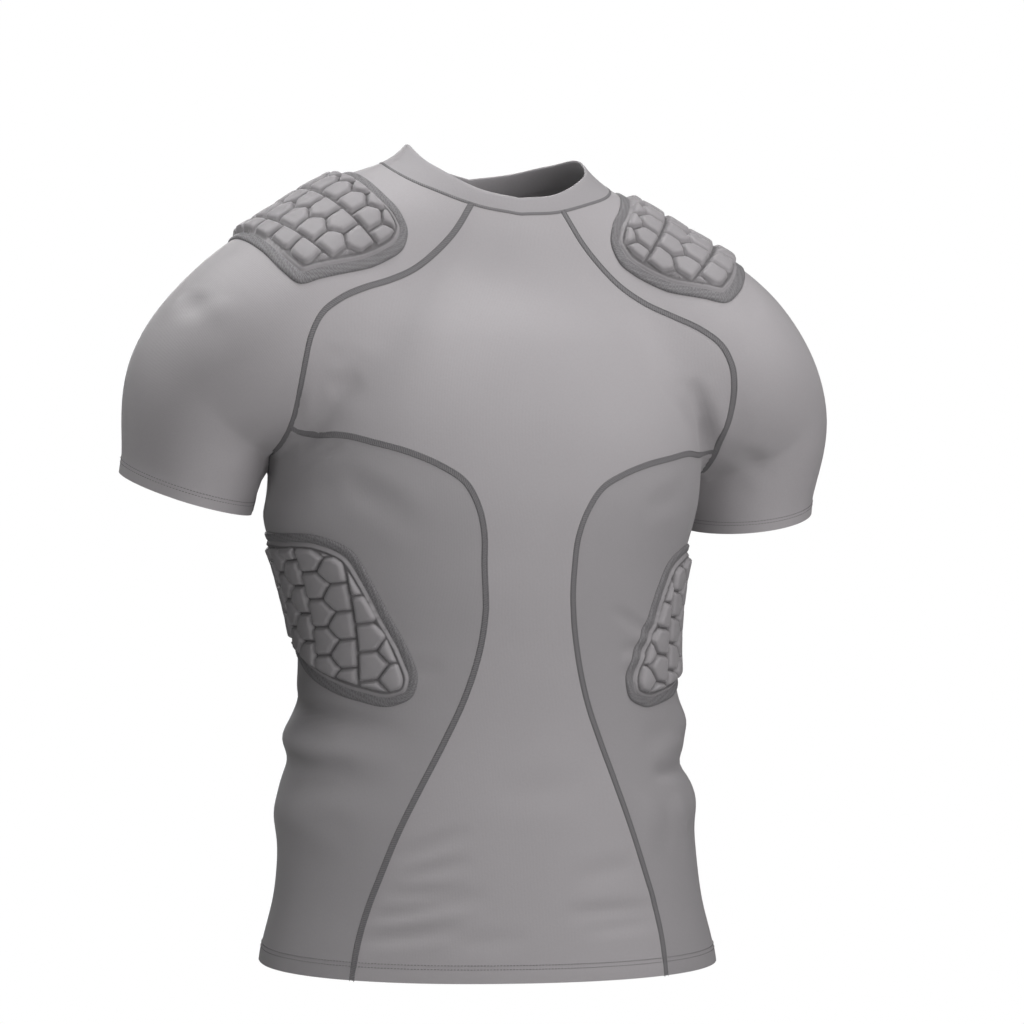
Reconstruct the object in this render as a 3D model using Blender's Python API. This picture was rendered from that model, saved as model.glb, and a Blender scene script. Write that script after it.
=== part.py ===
# Padded compression shirt, in its worn and hollow form. Metres, +Z up, the front faces -Y.
# The worn form is one smooth surface, a tapered torso blended with two sleeves. Each panel
# is cut out of it along the sewn lines, and each wall is that panel's outer points over the
# same points one cloth thickness inside. The pads are made from the points of the panel
# that they lie on, moved out, with their cells raised over a plain underside.
# The wearer's right side is -X.

import math

import bpy
import numpy as np
from mathutils.geometry import delaunay_2d_cdt

MM = 0.001
CLOTH = 1.5 * MM            # wall of the knit panels
COLLAR_WALL = 1.9 * MM      # folded collar band
SEAM_GAP = 0.3 * MM         # between panels, and under a pad
PANEL_STEP = 18.5           # mesh step of the front, back and sleeves, mm
SIDE_STEP = 15.5            # mesh step of the side panels, which carry the folds, mm
SEAM_STEP = 15.0            # step along a sewn line, mm
SHOULDER_LEVEL = 650 * MM   # height of the shoulders' inside above the hem, the origin
BLEND = (10, 34)            # how softly the sleeve runs into the torso, armpit and shoulder
BLEND_HEIGHTS = (425, 505)  # the heights in mm between which that softness changes
SLEEVE_DEPTH = 1.06         # sleeve's depth over its width
PAD_BORDER = 7.0            # flat border of a pad, mm
PAD_EDGE = 1.8              # height of that border above the cloth, mm
GROOVE_FLOOR = 3.0          # height between the cells, mm
CELL_EDGE = 6.2             # height at a cell's rim, mm
CELL_CROWN = 7.4            # height at a cell's middle, mm
GROOVE = 1.3                # half width of a groove, mm
RIM = 3.6                   # from a cell's side to its rim, mm

# The torso's sections, measured in mm from the hem up.
TORSO = [
    # name,      height, half_width, front, back, squareness
    ("below",       -40, 197, 112, 112, 2.2),
    ("hem",           0, 196, 112, 112, 2.2),
    ("hip",          55, 184, 109, 110, 2.2),
    ("high_hip",    120, 178, 106, 106, 2.2),
    ("waist",       200, 168, 104, 103, 2.2),
    ("low_rib",     265, 163, 110, 108, 2.2),
    ("rib",         330, 173, 119, 117, 2.2),
    ("chest",       400, 186, 125, 126, 2.3),
    ("high_chest",  460, 184, 122, 128, 2.3),
    ("armhole",     520, 168, 106, 122, 2.2),
    ("yoke",        570, 140, 82, 102, 2.1),
    ("base",        615, 104, 72, 78, 2.0),
    ("collar",      655, 79, 60, 62, 2.0),
    ("neck",        690, 72, 55, 60, 2.0),
    ("top",         740, 71, 54, 60, 2.0),
]

# The sleeve's middle line and radius, from the neck to past the cuff, in mm.
SLEEVE = [
    # name,       x,  y, height, radius
    ("neck",         0,  8, 647, 40),
    ("neck_side",  45,  8, 627, 46),
    ("trapezius", 100,  7, 599, 58),
    ("slope",     140,  3, 569, 67),
    ("shoulder",  198,  0, 512, 84),
    ("upper_arm", 242, 14, 474, 70),
    ("cuff",      252, 32, 404, 59),
    ("below",     262, 46, 330, 57),
]

# The collar: its sewn line and its top edge by the angle round from the front.
COLLAR = [
    # angle, seam_height, top_height
    (0,   626, 640),
    (30,  631, 646),
    (60,  645, 664),
    (90,  664, 684),
    (120, 664, 682),
    (150, 654, 674),
    (180, 648, 668),
]
RAGLAN_ANGLE = (33, 150)    # where the raglan seams meet the collar, front and back

# Sewn lines of one side in mm, mirrored to the other: x out from the middle, z up.
RAGLAN_FRONT = [
    # x, height
    (57, 606), (73, 588), (91, 572), (113, 559), (137, 549),
    (158, 540), (175, 528), (184, 512), (188, 492), (189, 468), (188, 447),
]
RAGLAN_BACK = [
    # x, height
    (60, 620), (84, 592), (112, 570), (142, 552), (168, 530), (183, 500),
    (189, 468), (189, 446),
]
SIDE_FRONT = [
    # x, height
    (172, 435), (152, 435), (130, 430), (100, 422), (78, 413), (60, 402), (48, 384),
    (41, 362), (39, 335), (38, 300), (43, 262), (53, 226), (68, 190), (84, 155),
    (100, 118), (112, 85), (122, 55), (129, 25), (132, 0),
]
SIDE_BACK = [
    # x, height
    (172, 424), (148, 412), (122, 386), (106, 350), (98, 300), (96, 250),
    (100, 200), (108, 150), (118, 100), (127, 50), (132, 0),
]
ARMPIT = [
    # y, x
    (-50, 189), (-30, 190.5), (-12, 191.5), (0, 191), (12, 188.5), (25, 187), (37, 186),
    (50, 185), (62, 187),
]
ARMPIT_ABOVE = 500          # a height inside the shoulder, over the whole of that line, mm
CUFF = {"along": 395, "rise": -5}     # sleeve length at the cuff, and its slant

# Pad outlines on the sleeve (mm along it, degrees round it) and the side (degrees, mm).
SHOULDER_PAD = [
    # along, angle
    (100, 18), (99, 58), (97, 76), (101, 89), (117, 98), (137, 99), (163, 94), (194, 80),
    (207, 72), (208, 60), (205, 42), (201, 14), (199, -20), (200, -48), (192, -68),
    (165, -80), (135, -82), (113, -72), (102, -48), (100, -16),
]
RIB_PAD = [
    # angle, height
    (68, 352), (60, 336), (56, 312), (52, 280), (46, 242), (44, 222), (46, 208), (52, 203),
    (63, 211), (77, 227), (93, 246), (108, 262), (117, 276), (121, 296), (121, 324),
    (115, 346), (101, 357), (83, 358),
]
SHOULDER_SHIFT = {"right": 7, "left": -7}   # each shoulder pad's shift along the sleeve, mm
CELL = {"column": 23.0, "pitch": 24.0, "zigzag": 5.0}

# The largest folds: a bulge out, or a trough where it is negative, across the torso.
FOLDS = [
    # side, angle, height, reach_deg, half_width_mm, out_mm, slope_mm
    ("right", 84, 186, 40, 14, 4.6, 10),
    ("right", 78, 212, 34, 8, -2.6, 12),
    ("right", 88, 128, 44, 22, 3.0, -6),
    ("right", 120, 160, 36, 13, 2.8, 14),
    ("left", 96, 200, 40, 15, 3.6, -12),
    ("left", 92, 165, 40, 10, -3.2, -10),
    ("left", 86, 138, 44, 18, 2.4, 8),
    ("left", 126, 182, 34, 13, 2.6, -12),
    ("right", 172, 214, 34, 12, 2.6, 8),
    ("left", 170, 190, 36, 14, 2.4, 10),
    ("right", 86, 362, 36, 24, 6.0, 0),
]

# The worn pose: sideways drift of the middle by height, a lean and a twist of the hem.
DRIFT = [
    # height, aside
    (0, 8), (55, 7), (120, 5), (200, 4), (265, 1), (330, -6), (400, -7), (500, -8),
    (600, -10), (690, -12), (800, -12),
]
LEAN_DEG = 1.5
FRONT_DIP = 4               # the hem hangs this much lower in front, mm
TWIST_DEG = -8.0
ARM_SHIFT = 5               # both arms swing this far to the wearer's left, mm
RAISED_SHOULDER = 6         # the wearer's right shoulder sits this much higher, mm

COLOURS = {
    "front_panel": (0.300, 0.288, 0.296, 1.0),
    "back_panel": (0.290, 0.279, 0.287, 1.0),
    "side_panel": (0.255, 0.246, 0.253, 1.0),
    "sleeve": (0.300, 0.288, 0.296, 1.0),
    "collar": (0.270, 0.260, 0.268, 1.0),
    "shoulder_pad": (0.250, 0.240, 0.247, 1.0),
    "rib_pad": (0.235, 0.226, 0.233, 1.0),
}
SIDES = (("right", -1.0), ("left", 1.0))


def smooth(xs, ys, x):
    """A smooth curve through a table's rows."""
    xs, ys = np.asarray(xs, float), np.asarray(ys, float)
    step = np.diff(xs)
    slope = np.diff(ys) / step
    tangent = np.empty_like(ys)
    tangent[0], tangent[-1] = slope[0], slope[-1]
    tangent[1:-1] = (slope[:-1] * step[1:] + slope[1:] * step[:-1]) / (step[:-1] + step[1:])
    x = np.clip(x, xs[0], xs[-1])
    i = np.clip(np.searchsorted(xs, x) - 1, 0, len(step) - 1)
    t = (x - xs[i]) / step[i]
    return ((2 * t**3 - 3 * t**2 + 1) * ys[i] + (t**3 - 2 * t**2 + t) * step[i] * tangent[i]
            + (3 * t**2 - 2 * t**3) * ys[i + 1] + (t**3 - t**2) * step[i] * tangent[i + 1])


def column(table, k, scale=MM):
    return np.array([row[k] for row in table], float) * scale


def unit(v):
    return v / np.maximum(np.linalg.norm(v, axis=-1, keepdims=True), 1e-12)


class WornForm:
    """The garment's outer surface as a field, negative inside."""

    def __init__(self):
        self.height = column(TORSO, 1)
        self.half = column(TORSO, 2)
        self.front = column(TORSO, 3)
        self.back = column(TORSO, 4)
        self.square = column(TORSO, 5, 1.0)
        rows = np.stack([column(SLEEVE, k) for k in (1, 2, 3)], 1)
        self.along = np.r_[0, np.cumsum(np.linalg.norm(np.diff(rows, axis=0), axis=1))]
        self.rows = rows
        self.radius = column(SLEEVE, 4)
        s = np.linspace(0, self.along[-1], 80)
        self.balls = self.line(s)
        self.ball_radius = smooth(self.along, self.radius, s)

    def line(self, s):
        """The sleeve's middle line on the +X side."""
        return np.stack([smooth(self.along, self.rows[:, k], s) for k in range(3)], -1)

    def torso(self, p):
        z = p[..., 2]
        half = smooth(self.height, self.half, z)
        front = smooth(self.height, self.front, z)
        back = smooth(self.height, self.back, z)
        power = smooth(self.height, self.square, z)
        depth = np.where(p[..., 1] < 0, front, back)
        q = (np.abs(p[..., 0]) / half) ** power + (np.abs(p[..., 1]) / depth) ** power
        return (np.maximum(q, 1e-12) ** (1 / power) - 1) * 0.4 * (front + back)

    def sleeves(self, p):
        p = np.stack([np.abs(p[..., 0]), p[..., 1], p[..., 2]], -1)
        nearest = np.full(p.shape[:-1], 1e9)
        for centre, radius in zip(self.balls, self.ball_radius):
            v = p - centre
            away = np.sqrt(v[..., 0]**2 + (v[..., 1] / SLEEVE_DEPTH)**2 + v[..., 2]**2)
            nearest = np.minimum(nearest, away - radius)
        return nearest

    def folds(self, p):
        """How far the largest folds push the surface out."""
        out = np.zeros(p.shape[:-1])
        angle = np.degrees(np.arctan2(p[..., 0], -p[..., 1]))
        for side, middle, height, reach, half_width, push, rise in FOLDS:
            sign = 1.0 if side == "left" else -1.0
            t = ((angle * sign - middle + 180) % 360 - 180) / reach
            dz = (p[..., 2] - (height + rise * t) * MM) / (half_width * MM)
            out += push * MM * np.exp(-dz**2) * np.clip(1 - t**2, 0, 1)**2
        return out

    def __call__(self, p):
        body, arms = self.torso(p), self.sleeves(p)
        t = np.clip((p[..., 2] / MM - BLEND_HEIGHTS[0]) / np.ptp(BLEND_HEIGHTS), 0, 1)
        soft = (BLEND[0] + (BLEND[1] - BLEND[0]) * t * t * (3 - 2 * t)) * MM
        h = np.clip(0.5 + 0.5 * (arms - body) / soft, 0, 1)
        return arms * (1 - h) + body * h - soft * h * (1 - h) - self.folds(p)

    def cast(self, start, heading, far=0.32, steps=64):
        """Where rays that start inside first leave the form."""
        t = np.linspace(0.003, far, steps)
        path = start[:, None, :] + heading[:, None, :] * t[None, :, None]
        out = self(path.reshape(-1, 3)).reshape(len(start), steps) > 0
        i = np.where(out.any(1), out.argmax(1), steps - 1)
        high, low = t[i], t[np.maximum(i - 1, 0)]
        for _ in range(24):
            mid = 0.5 * (low + high)
            inside = self(start + heading * mid[:, None]) < 0
            low, high = np.where(inside, mid, low), np.where(inside, high, mid)
        return start + heading * high[:, None]

    def normal(self, p, e=5e-4):
        g = [self(p + np.eye(3)[k] * e) - self(p - np.eye(3)[k] * e) for k in range(3)]
        return unit(np.stack(g, -1))


FORM = WornForm()


class PlanChart:
    """Front or back: x across and height up, in mm."""

    def __init__(self, facing):
        self.facing = facing

    def flat(self, p):
        return np.stack([p[:, 0], p[:, 2]], -1) / MM

    def point(self, uv):
        start = np.stack([uv[:, 0], 0 * uv[:, 0], uv[:, 1]], -1) * MM
        heading = np.tile([0.0, self.facing, 0.0], (len(uv), 1))
        return FORM.cast(start, heading, far=0.22)


class SideChart:
    """Round one side: length round at rib height, and height, in mm."""
    TILT = 0.4
    OUT = 180 * MM

    def __init__(self, sign):
        self.sign = sign
        self.angles = np.radians(np.linspace(-30, 210, 241))
        ring = self.along_angle(self.angles, np.full(241, 0.30))
        arc = np.r_[0, np.cumsum(np.linalg.norm(np.diff(ring[:, :2], axis=0), axis=1))]
        self.arc = (arc - np.interp(0.0, self.angles, arc)) / MM

    def along_angle(self, angle, height):
        start = np.stack([0 * angle, 0 * angle, height + self.OUT * self.TILT], -1)
        heading = unit(np.stack([np.sin(angle) * self.sign, -np.cos(angle),
                                 np.full(len(angle), -self.TILT)], -1))
        return FORM.cast(start, heading)

    def from_degrees(self, rows):
        """Rows of (angle, height) as flat points."""
        rows = np.asarray(rows, float)
        return np.stack([np.interp(np.radians(rows[:, 0]), self.angles, self.arc), rows[:, 1]], -1)

    def flat(self, p):
        angle = np.arctan2(p[:, 0] * self.sign, -p[:, 1]) % (2 * math.pi)
        angle = np.where(angle > math.radians(240), angle - 2 * math.pi, angle)
        height = p[:, 2] + self.TILT * (np.hypot(p[:, 0], p[:, 1]) - self.OUT)
        return np.stack([np.interp(angle, self.angles, self.arc), height / MM], -1)

    def point(self, uv):
        angle = np.interp(uv[:, 0], self.arc, self.angles)
        return self.along_angle(angle, uv[:, 1] * MM)


class SleeveChart:
    """Along and round one sleeve, in mm: 0 round is on top, the front is plus."""
    ROUND = 68.0            # mm for a radian

    def __init__(self, sign):
        self.mirror = np.array([sign, 1.0, 1.0])
        self.s = np.linspace(-0.03, FORM.along[-1], 900)
        self.c, self.n, self.f, self.u = self.frames(self.s)

    def frames(self, s):
        e = 2e-3
        ends = FORM.along[-1]
        inner = FORM.line(np.clip(s, 0, ends))
        n = unit(FORM.line(np.clip(s + e, e, ends)) - FORM.line(np.clip(s - e, 0, ends - e)))
        c = inner + n * (s - np.clip(s, 0, ends))[:, None]
        f = np.array([0.0, -1.0, 0.0]) + n * n[:, 1:2]
        f = unit(f)
        return c, n, f, np.cross(f, n)

    def flat(self, p):
        p = p * self.mirror
        out = []
        for q in p:
            g = np.einsum("ij,ij->i", q - self.c, self.n)
            k = np.where((g[:-1] >= 0) & (g[1:] < 0))[0]
            k = k[np.linalg.norm(q - self.c[k], axis=1).argmin()] if len(k) else abs(g).argmin()
            v = q - self.c[k]
            out.append((self.s[k] / MM, math.atan2(v @ self.f[k], v @ self.u[k]) * self.ROUND))
        return np.array(out)

    def from_degrees(self, rows, shift=0.0):
        rows = np.asarray(rows, float)
        return np.stack([rows[:, 0] + shift, np.radians(rows[:, 1]) * self.ROUND], -1)

    def point(self, uv):
        c, n, f, u = self.frames(uv[:, 0] * MM)
        a = uv[:, 1:2] / self.ROUND
        return FORM.cast(c, u * np.cos(a) + f * np.sin(a), far=0.16, steps=110) * self.mirror


def spread(points, step, closed=False):
    """A smooth curve through points, sampled at about one step."""
    points = np.asarray(points, float)
    if closed:
        n = len(points)
        points = np.concatenate([points[-3:], points, points[:4]])
    length = np.r_[0, np.cumsum(np.linalg.norm(np.diff(points, axis=0), axis=1))]
    first, last = (length[3], length[3 + n]) if closed else (0.0, length[-1])
    fine = np.linspace(first, last, 600)
    curve = np.stack([smooth(length, points[:, k], fine) for k in range(points.shape[1])], -1)
    run = np.r_[0, np.cumsum(np.linalg.norm(np.diff(curve, axis=0), axis=1))]
    count = max(2, round(run[-1] / step))
    at = np.linspace(0, run[-1], count + 1)
    curve = np.stack([np.interp(at, run, curve[:, k]) for k in range(points.shape[1])], -1)
    return curve[:-1] if closed else curve


def neck_ring(angles, which):
    """Points of the collar's seam, 0, or top, 1, at these angles round from the front."""
    centre = np.array([0.0, 0.0, 0.575])
    out = []
    rise = np.linspace(0.10, 2.6, 60)
    for a in np.atleast_1d(angles):
        around = abs((a + 180) % 360 - 180)
        height = smooth(column(COLLAR, 0, 1), column(COLLAR, 1 + which), around)
        heading = np.stack([np.full(60, math.sin(math.radians(a))),
                            np.full(60, -math.cos(math.radians(a))), rise], -1)
        p = FORM.cast(np.tile(centre, (60, 1)), unit(heading), far=0.26)
        t = np.interp(height, p[:, 2], rise)
        one = np.array([[math.sin(math.radians(a)), -math.cos(math.radians(a)), t]])
        out.append(FORM.cast(centre[None], unit(one), far=0.26)[0])
    return np.array(out)


class Seams:
    """Every sewn line as points on the form. Panels on both sides share them."""

    def __init__(self, step=SEAM_STEP):
        front, back = RAGLAN_ANGLE
        few = lambda mm: max(2, round(mm / step))
        self.neck_front = neck_ring(np.linspace(-front, front, few(85) + 1), 0)
        self.neck_back = neck_ring(np.linspace(back, 360 - back, few(75) + 1), 0)
        self.side = {}
        for name, sign in SIDES:
            line = {}
            angles = np.linspace(front, back, few(150) + 1) * sign
            line["neck"] = neck_ring(angles, 0)
            y = np.linspace(ARMPIT[0][0], ARMPIT[-1][0], few(130) + 1) * MM
            x = smooth(column(ARMPIT, 0), column(ARMPIT, 1), y)
            start = np.stack([sign * x, y, 0 * y + ARMPIT_ABOVE * MM], -1)
            line["armpit"] = FORM.cast(start, np.tile([0, 0, -1.0], (len(y), 1)), far=0.2, steps=160)
            tips = line["armpit"][0], line["armpit"][-1]
            ends = line["neck"][0], line["neck"][-1]
            for key, table, face, tip, top in (
                    ("raglan_front", RAGLAN_FRONT, -1.0, tips[0], ends[0]),
                    ("raglan_back", RAGLAN_BACK, 1.0, tips[1], ends[1])):
                rows = [(top[0] * sign / MM, top[2] / MM)] + table + \
                    [(tip[0] * sign / MM, tip[2] / MM)]
                line[key] = self.on_plan(spread(rows, step), sign, face, top, tip)
            for key, table, face, tip in (("side_front", SIDE_FRONT, -1.0, tips[0]),
                                          ("side_back", SIDE_BACK, 1.0, tips[1])):
                rows = [(tip[0] * sign / MM, tip[2] / MM)] + table
                line[key] = self.on_plan(spread(rows, step), sign, face, tip, None)
            chart = SideChart(sign)
            a, b = chart.flat(np.array([line["side_front"][-1], line["side_back"][-1]]))
            u = np.linspace(a[0], b[0], few(b[0] - a[0]) + 1)
            angle = np.interp(u, chart.arc, chart.angles)
            line["hem"] = hem_ring(angle * sign)
            line["hem"][0], line["hem"][-1] = line["side_front"][-1], line["side_back"][-1]
            self.side[name] = line
        self.hem_front = self.hem_run("side_front", step)
        self.hem_back = self.hem_run("side_back", step)

    def on_plan(self, rows, sign, face, first, last):
        points = PlanChart(face).point(rows * np.array([sign, 1.0]))
        if first is not None:
            points[0] = first
        if last is not None:
            points[-1] = last
        return points

    def hem_run(self, key, step):
        a, b = self.side["right"][key][-1], self.side["left"][key][-1]
        angle = [math.atan2(p[0], -p[1]) for p in (a, b)]
        if key == "side_back":
            angle[0] += 2 * math.pi
        count = max(2, round(265 / step))
        ring = hem_ring(np.linspace(angle[0], angle[1], count + 1))
        ring[0], ring[-1] = a, b
        return ring


def hem_ring(angles):
    heading = np.stack([np.sin(angles), -np.cos(angles), 0 * angles], -1)
    return FORM.cast(np.zeros((len(angles), 3)), heading)


def inside(points, polygon):
    """Which flat points lie inside a polygon."""
    x, y = points[:, 0], points[:, 1]
    hit = np.zeros(len(points), bool)
    for (x0, y0), (x1, y1) in zip(polygon, np.roll(polygon, -1, 0)):
        cross = (y0 > y) != (y1 > y)
        if y1 != y0:
            hit ^= cross & (x < (x1 - x0) * (y - y0) / (y1 - y0) + x0)
    return hit


def distance(points, chain, closed=True):
    """How far flat points are from a chain of segments."""
    best = np.full(len(points), 1e9)
    ends = np.roll(chain, -1, 0) if closed else chain[1:]
    for a, b in zip(chain, ends):
        d = b - a
        t = np.clip(((points - a) @ d) / max(d @ d, 1e-12), 0, 1)
        best = np.minimum(best, np.linalg.norm(points - a - t[:, None] * d, axis=1))
    return best


def triangulate(points, loops, keep):
    """Triangles over flat points whose centres pass a test. The loops' sides are kept."""
    edges = [(loop[i], loop[(i + 1) % len(loop)]) for loop in loops for i in range(len(loop))]
    verts, _, faces, origins, _, _ = delaunay_2d_cdt(
        [tuple(p) for p in points], edges, [], 0, 1e-4)
    index = []
    for i, o in enumerate(origins):
        if not o:
            raise ValueError("two sewn lines cross in a panel")
        index.append(o[0])
    tri = np.array([[index[i] for i in f] for f in faces])
    centre = points[tri].mean(1)
    tri = tri[keep(centre)]
    a, b, c = points[tri[:, 0]], points[tri[:, 1]], points[tri[:, 2]]
    area = (b[:, 0] - a[:, 0]) * (c[:, 1] - a[:, 1]) - (b[:, 1] - a[:, 1]) * (c[:, 0] - a[:, 0])
    tri[area < 0] = tri[area < 0][:, ::-1]
    return tri[np.abs(area) > 1e-6]


def lattice(polygon, step, away, chains=()):
    """An even field of points inside a polygon, clear of its border and of other lines."""
    low, high = polygon.min(0), polygon.max(0)
    rows = np.arange(low[1] + step / 2, high[1], step * 0.866)
    pts = [(x + (step / 2 if k % 2 else 0), z) for k, z in enumerate(rows)
           for x in np.arange(low[0], high[0], step)]
    pts = np.array(pts)
    pts = pts[inside(pts, polygon)]
    pts = pts[distance(pts, polygon) > away * step]
    for chain in chains:
        pts = pts[distance(pts, chain) > away * step * 0.8]
    return pts


class Panel:
    """One cut piece: a border on the form, lines kept in its mesh, and even points."""

    def __init__(self, border, chart, step, flat=None, chains=(), merge=()):
        flat = chart.flat(border) if flat is None else flat
        field = lattice(flat, step, 0.55, chains)
        uv = np.concatenate([flat] + list(chains) + [field])
        first = len(flat)
        loops, self.chain_ids = [list(range(first))], []
        for chain in chains:
            ids = list(range(first, first + len(chain)))
            loops.append(ids)
            self.chain_ids.append(ids)
            first += len(chain)
        tri = triangulate(uv, loops, lambda c: inside(c, flat))
        points = np.concatenate([border, chart.point(uv[len(flat):])])
        self.uv = uv
        self.inside_chain = [inside(uv[tri].mean(1), chain) for chain in chains]
        for drop, keep in merge:
            tri = np.where(tri == drop, keep, tri)
        self.points, self.tri = points, tri
        self.face_out()
        self.normals = FORM.normal(points)

    def face_out(self):
        p = self.points[self.tri]
        n = np.cross(p[:, 1] - p[:, 0], p[:, 2] - p[:, 0])
        if (n * FORM.normal(p.mean(1))).sum() < 0:
            self.tri = self.tri[:, ::-1]

    def solid(self, wall):
        points = inset(self.points, self.tri, self.normals, SEAM_GAP / 2)
        return shell(points - self.normals * wall, points, self.tri)


def rim(tri):
    """The open sides of a sheet, each in its triangle's direction."""
    sides = {}
    for t in tri:
        for a, b in ((t[0], t[1]), (t[1], t[2]), (t[2], t[0])):
            sides[(int(a), int(b))] = True
    return [s for s in sides if (s[1], s[0]) not in sides]


def inset(points, tri, normals, by):
    """Draws a sheet's border in along its surface."""
    points = points.copy()
    pull = {}
    for a, b in rim(tri):
        n = unit(normals[a] + normals[b])
        inward = unit(np.cross(n, points[b] - points[a]))
        pull.setdefault(a, []).append(inward)
        pull.setdefault(b, []).append(inward)
    moved = {}
    for i, ways in pull.items():
        if len(ways) == 2:
            moved[i] = (ways[0] + ways[1]) / max(1 + ways[0] @ ways[1], 0.35)
        else:
            moved[i] = unit(sum(ways))
    for i, way in moved.items():
        points[i] += way * by
    return points


def shell(low, high, tri):
    """A closed body between two sheets of the same triangles: the high one faces out.

    An edge wall is halved from its lower end, so two panels' walls along a seam stay apart.
    """
    used = np.unique(tri)
    index = np.full(len(high), -1)
    index[used] = np.arange(len(used))
    tri = index[tri]
    count = len(used)
    faces = [tuple(t) for t in tri] + [tuple(t[::-1] + count) for t in tri]
    order = high[used] @ np.array([0.31, 0.53, 0.79])
    for a, b in rim(tri):
        if order[a] > order[b]:
            faces += [(b, a, a + count), (b, a + count, b + count)]
        else:
            faces += [(b, a, b + count), (a, a + count, b + count)]
    return np.concatenate([high[used], low[used]]), faces


def clip(polygon, region, by=0.0):
    """A convex polygon cut to a convex region whose sides are moved in, anticlockwise."""
    polygon = [np.asarray(p, float) for p in polygon]
    for a, b in zip(region, np.roll(region, -1, 0)):
        d = unit(b - a)
        a = a + np.array([-d[1], d[0]]) * by
        side = lambda p: d[0] * (p[1] - a[1]) - d[1] * (p[0] - a[0])
        out = []
        for p, q in zip(polygon, polygon[1:] + polygon[:1]):
            sp, sq = side(p), side(q)
            if sp >= 0:
                out.append(p)
            if sp * sq < 0:
                out.append(p + (q - p) * (sp / (sp - sq)))
        polygon = out
        if not polygon:
            return []
    return tidy(polygon)


def hull(points):
    """The convex outline of flat points, anticlockwise."""
    pts = sorted(map(tuple, points))
    half = []
    for run in (pts, pts[::-1]):
        chain = []
        for p in run:
            while len(chain) > 1 and ((chain[-1][0] - chain[-2][0]) * (p[1] - chain[-2][1])
                                      - (chain[-1][1] - chain[-2][1]) * (p[0] - chain[-2][0])) <= 0:
                chain.pop()
            chain.append(p)
        half += chain[:-1]
    return np.array(half)


def tidy(polygon, least=2.5):
    """Joins corners that are closer than a few mm."""
    out = []
    for p in polygon:
        if not out or np.linalg.norm(p - out[-1]) > least:
            out.append(p)
    if len(out) > 2 and np.linalg.norm(out[0] - out[-1]) <= least:
        out.pop()
    return out


def shrink(polygon, by):
    """A convex polygon with each side moved in."""
    return np.array(clip(polygon, np.array(polygon), by))


def dense(polygon, step=12.0):
    """A polygon with its long sides divided."""
    out = []
    for a, b in zip(polygon, np.roll(polygon, -1, 0)):
        count = max(1, math.ceil(np.linalg.norm(b - a) / step))
        out += [a + (b - a) * k / count for k in range(count)]
    return np.array(out)


def area_of(polygon):
    x, y = np.array(polygon).T
    return 0.5 * float(np.sum(x * np.roll(y, -1) - np.roll(x, -1) * y))


def cells(region, across, start):
    """Five-sided cells: straight lines and zigzag lines in turn, clipped to a region.
    across is the flat axis that the columns step along, start is the first straight line."""
    wide, pitch, zig = CELL["column"], CELL["pitch"], CELL["zigzag"]
    low, high = region.min(0), region.max(0)
    along = 1 - across
    out = []
    first = math.floor((low[across] - start) / (2 * wide))
    last = math.ceil((high[across] - start) / (2 * wide))
    for pair in range(first, last + 1):
        u = start + pair * 2 * wide
        for k in range(-1, math.ceil((high[along] - low[along]) / pitch) + 1):
            v = low[along] + k * pitch
            m, o = u + wide - zig, u + wide + zig
            one = [(u, v), (m, v), (o, v + pitch / 2), (m, v + pitch), (u, v + pitch)]
            v += pitch / 2
            two = [(u + 2 * wide, v), (u + 2 * wide, v + pitch), (o, v + pitch),
                   (m, v + pitch / 2), (o, v)]
            for shape in (one, two):
                shape = [np.array(p if across == 0 else p[::-1]) for p in shape]
                if area_of(shape) < 0:
                    shape = shape[::-1]
                shape = clip(shape, region)
                if len(shape) > 2 and len(shrink(shape, RIM + 1.0)) > 2:
                    out.append(shape)
    return out


def pad(panel, which, chart, across, start):
    """A pad on a panel: the panel's points moved out, under a border and raised cells."""
    ids = panel.chain_ids[which]
    under = panel.tri[panel.inside_chain[which]]
    outline = panel.uv[ids]
    whole = hull(outline)
    shapes = cells(shrink(whole, PAD_BORDER), across, start)
    uv, height, loops = [outline], [np.full(len(ids), PAD_EDGE)], [list(range(len(ids)))]
    count = len(ids)
    extra = [(dense(shrink(whole, PAD_BORDER * 0.75)), PAD_EDGE + 0.3)]
    for shape in shapes:
        base, top = dense(shrink(shape, GROOVE), 16.0), shrink(shape, RIM)
        extra += [(base, GROOVE_FLOOR), (top, CELL_EDGE), (top.mean(0)[None], CELL_CROWN)]
    for group, z in extra:
        uv.append(group)
        height.append(np.full(len(group), z))
        if len(group) > 2:
            loops.append(list(range(count, count + len(group))))
        count += len(group)
    uv, height = np.concatenate(uv), np.concatenate(height) * MM
    tri = triangulate(uv, loops, lambda c: inside(c, outline))
    points = np.concatenate([panel.points[ids], chart.point(uv[len(ids):])])
    normals = FORM.normal(points)
    p = points[tri]
    n = np.cross(p[:, 1] - p[:, 0], p[:, 2] - p[:, 0])
    if (n * FORM.normal(p.mean(1))).sum() < 0:
        tri = tri[:, ::-1]
    top = points + normals * (height + SEAM_GAP)[:, None]
    low = panel.points + panel.normals * SEAM_GAP
    used = np.unique(under)
    place = np.full(len(low), -1)
    place[used] = len(top) + np.arange(len(used))
    faces = [tuple(t) for t in tri] + [tuple(place[t][::-1]) for t in under]
    lower = {i: place[g] for i, g in enumerate(ids)}
    for a, b in rim(tri):
        faces += [(b, a, lower[a]), (b, lower[a], lower[b])]
    return np.concatenate([top, low[used]]), faces


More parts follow.
